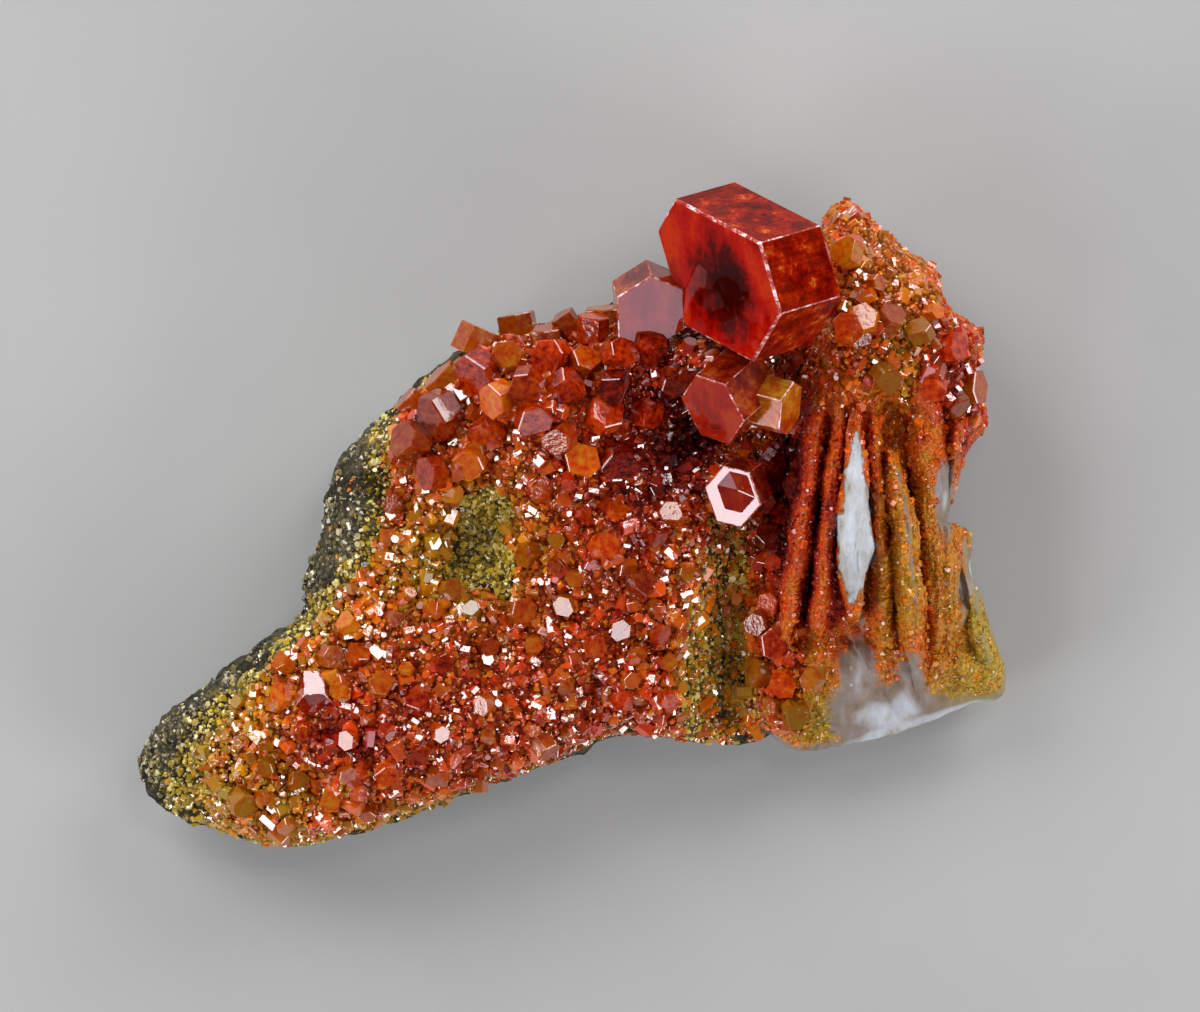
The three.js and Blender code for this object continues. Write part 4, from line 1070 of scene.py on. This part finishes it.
def big_crystal(name, material, node, parts, chamfer):
    """Large prisms with twelve-sided sections: each corner of the hexagon is cut by a narrow chamfer.
    Both ends step in by their bevel, and the front end may be hollow, to a share of its width, a depth,
    and off to one side. The number across is the distance round the section, side is 1 on the side
    faces, and amber is 1 on golden crystals."""
    points, triangles, across, sides, edges, amber = [], [], [], [], [], []
    for part in parts:
        full = np.array(part["faces"], float)
        length, front = part["length"], part["bevel"]
        back = part.get("back_bevel", front)
        levels = [(0, full - front), (-front * 0.4, full - front * 0.35), (-front, full),
                  (back - length, full), (-length, full - back)]
        hollow = "hollow" in part
        if hollow:
            share, depth, off = part["hollow"]
            levels = [(-depth, 0.03 * full), (0, share * full)] + levels
        angle = np.radians(part["spin"]) + np.arange(6) * np.pi / 3
        rings = []
        for z, distances in levels:
            corner = hexagon(distances, angle)
            arms = [np.roll(corner, step, 0) - corner for step in (1, -1)]
            cut = [corner + chamfer * (arm / np.linalg.norm(arm, axis=1, keepdims=True)) for arm in arms]
            section = np.stack(cut, 1).reshape(SECTION, 2)
            if hollow and len(rings) < 2:
                section += off
            rings.append(np.column_stack([section, np.full(SECTION, z)]))
        facing = np.array(part["facing"], float)
        facing /= np.linalg.norm(facing)
        triangles.append(tube(SECTION, len(rings)) + sum(len(p) for p in points))
        points.append(np.concatenate(rings) @ turning(facing) + np.array(part["at"]))
        edges.append(np.zeros(2 * (SECTION - 2), int))
        for to_back in range(len(rings) - 1, 0, -1):
            bevelled = (np.arange(SECTION) % 2 == 0) | (to_back in (3, 4))
            edges += [np.where(bevelled, int(to_back <= 4), 0)] * 2
        across.append(np.tile(run_along(rings[-2][:, :2]), len(rings)))
        amber.append(np.full(SECTION * len(rings), part.get("amber", 0.0)))
        sides.append(np.repeat([0.0] * (len(rings) - 3) + [1.0, 1.0, 0.0], SECTION))
    piece = put(name, np.concatenate(points), np.concatenate(triangles), material, "crystal", (node,),
                across=np.concatenate(across), side=np.concatenate(sides), amber=np.concatenate(amber))
    # The chamfers and end bevels take the second material, whose pinkish glints are painted highlights.
    piece.data.materials.append(PAINTED_EDGE_GLINT)
    piece.data.polygons.foreach_set("material_index", np.concatenate(edges).astype(np.int32))


LARGE = {"at": (11.6, 18.7, 21.6), "facing": (-0.782, -0.245, 0.573), "spin": -44.6,
         "faces": (6.7, 6.5, 4.8, 7.4, 6.1, 5.5), "length": 6.9, "bevel": 0.2, "back_bevel": 0.8}
TILE = {"at": (6.3, 16.1, 17.2), "facing": (0.13, -0.48, 0.87), "spin": 4,
        "faces": (2.7, 3.0, 2.8, 2.6, 3.1, 2.8), "length": 3.0, "bevel": 0.1}
STEPPED = {"at": (11.2, 8.4, 18.6), "facing": (-0.56, -0.5, 0.66), "spin": 22,
           "faces": (2.6, 2.9, 2.7, 2.5, 2.8, 2.6), "length": 5.2, "bevel": 0.1}
STEPPED_SIDE = {"at": (17.4, 8.6, 17.8), "facing": (0.86, -0.24, 0.45), "spin": 8,
                "faces": (1.7, 2.0, 1.8, 1.7, 2.0, 1.9), "length": 5.6, "bevel": 0.1, "amber": 0.9}
WINDOW = {"at": (12.9, 1.6, 14.6), "facing": (-0.3, -0.22, 0.93), "spin": 18,
          "faces": (2.0, 2.3, 2.2, 2.0, 2.3, 2.1), "length": 3.6, "bevel": 0.1,
          "hollow": (0.68, 0.6, (0.28, 0.4))}
LONE = {"at": (-20.5, -15.0, 12.9), "facing": (0.05, -0.72, 0.69), "spin": 30,
        "faces": (1.35, 1.25, 1.3, 1.35, 1.25, 1.3), "length": 2.6, "bevel": 0.06}

RUBY = clear_crystal_material("vanadinite_large", RUBY_STOPS, RUBY_FLECKS, density=800, transmission=0.3,
                              tint=(1.0, 0.3, 0.25), gloss=0.05, ior=1.4,
                              shade_core=((11.9, 18.0, 21.4), (3.4, 4.4, 4.2)))
DUSK = clear_crystal_material("vanadinite_clear", DUSK_STOPS, DUSK_FLECKS, density=900, transmission=0.45,
                              tint=(1.0, 0.95, 1.0), gloss=0.5, ior=2.0)
EMBER = clear_crystal_material("vanadinite_ember", DUSK_STOPS, DUSK_FLECKS, density=900, transmission=0.3,
                               tint=(1.0, 0.7, 0.75), gloss=0.15, ior=1.7)
big_crystal("large_crystal_prism", RUBY, "large_crystal", [LARGE], 0.08)
big_crystal("tile_crystal_prism", DUSK, "tile_crystal", [TILE], 0.06)
big_crystal("stepped_crystal_prisms", EMBER, "stepped_crystal", [STEPPED, STEPPED_SIDE], 0.05)
big_crystal("window_crystal_prism", DUSK, "window_crystal", [WINDOW], 0.05)
big_crystal("lone_crystal_prism", DUSK, "lone_crystal", [LONE], 0.04)

# Floor and light
FLOOR_HALF = 3.0
FLOOR_DROP = 1e-5
AIM = (0, 0, 0.01)
floor_look = Nodes("floor")
greys = floor_look.ramp(floor_look.noise(0.02, 3), [(0.3, 0.42), (0.7, (0.46, 0.46, 0.455))])
floor_look.set(Base_Color=greys, Roughness=1.0, Specular_IOR_Level=0.0)
floor_mesh = bpy.data.meshes.new("floor")
corners = [(a * FLOOR_HALF, b * FLOOR_HALF, -FLOOR_DROP) for a, b in ((-1, -1), (1, -1), (1, 1), (-1, 1))]
floor_mesh.from_pydata(corners, [], [(0, 1, 2, 3)])
floor_mesh.materials.append(floor_look.material)
floor = bpy.data.objects.new("floor", floor_mesh)
bpy.context.scene.collection.objects.link(floor)


def panel(name, at, width, height, power, colour=(1, 1, 1), target=AIM):
    """A rectangular soft light that looks at a point."""
    data = bpy.data.lights.new(name, "AREA")
    data.shape = "RECTANGLE"
    data.size, data.size_y = width, height
    data.energy = power
    data.color = colour
    light = bpy.data.objects.new(name, data)
    light.location = at
    direction = np.array(target) - np.array(at)
    light.rotation_euler = Vector(direction).to_track_quat("-Z", "Y").to_euler()
    light.visible_camera = False
    bpy.context.scene.collection.objects.link(light)


panel("key", (-0.34, 0.36, 0.38), 0.38, 0.28, 2.1)
panel("top", (0.12, 0.16, 0.5), 0.1, 0.1, 0.22)
panel("side", (0.33, 0.36, 0.26), 0.26, 0.26, 1.4)
panel("right", (0.42, -0.28, 0.2), 0.28, 0.24, 1.5)
panel("left", (-0.46, -0.2, 0.2), 0.28, 0.24, 1.5)
panel("back", (0.02, 0.54, 0.1), 0.4, 0.18, 1.4)
panel("front", (0.12, -0.46, 0.3), 0.36, 0.2, 0.3, (0.94, 0.88, 1.0))
panel("window", (-0.29, -0.21, 0.38), 0.12, 0.12, 0.3, target=(0.012, 0, 0.01))

world = bpy.data.worlds.new("world")
world.use_nodes = True
sky = world.node_tree.nodes["Background"]
sky.inputs["Color"].default_value = (0.85, 0.88, 0.95, 1)
sky.inputs["Strength"].default_value = 0.06
bpy.context.scene.world = world
bpy.context.scene.view_settings.view_transform = "Standard"
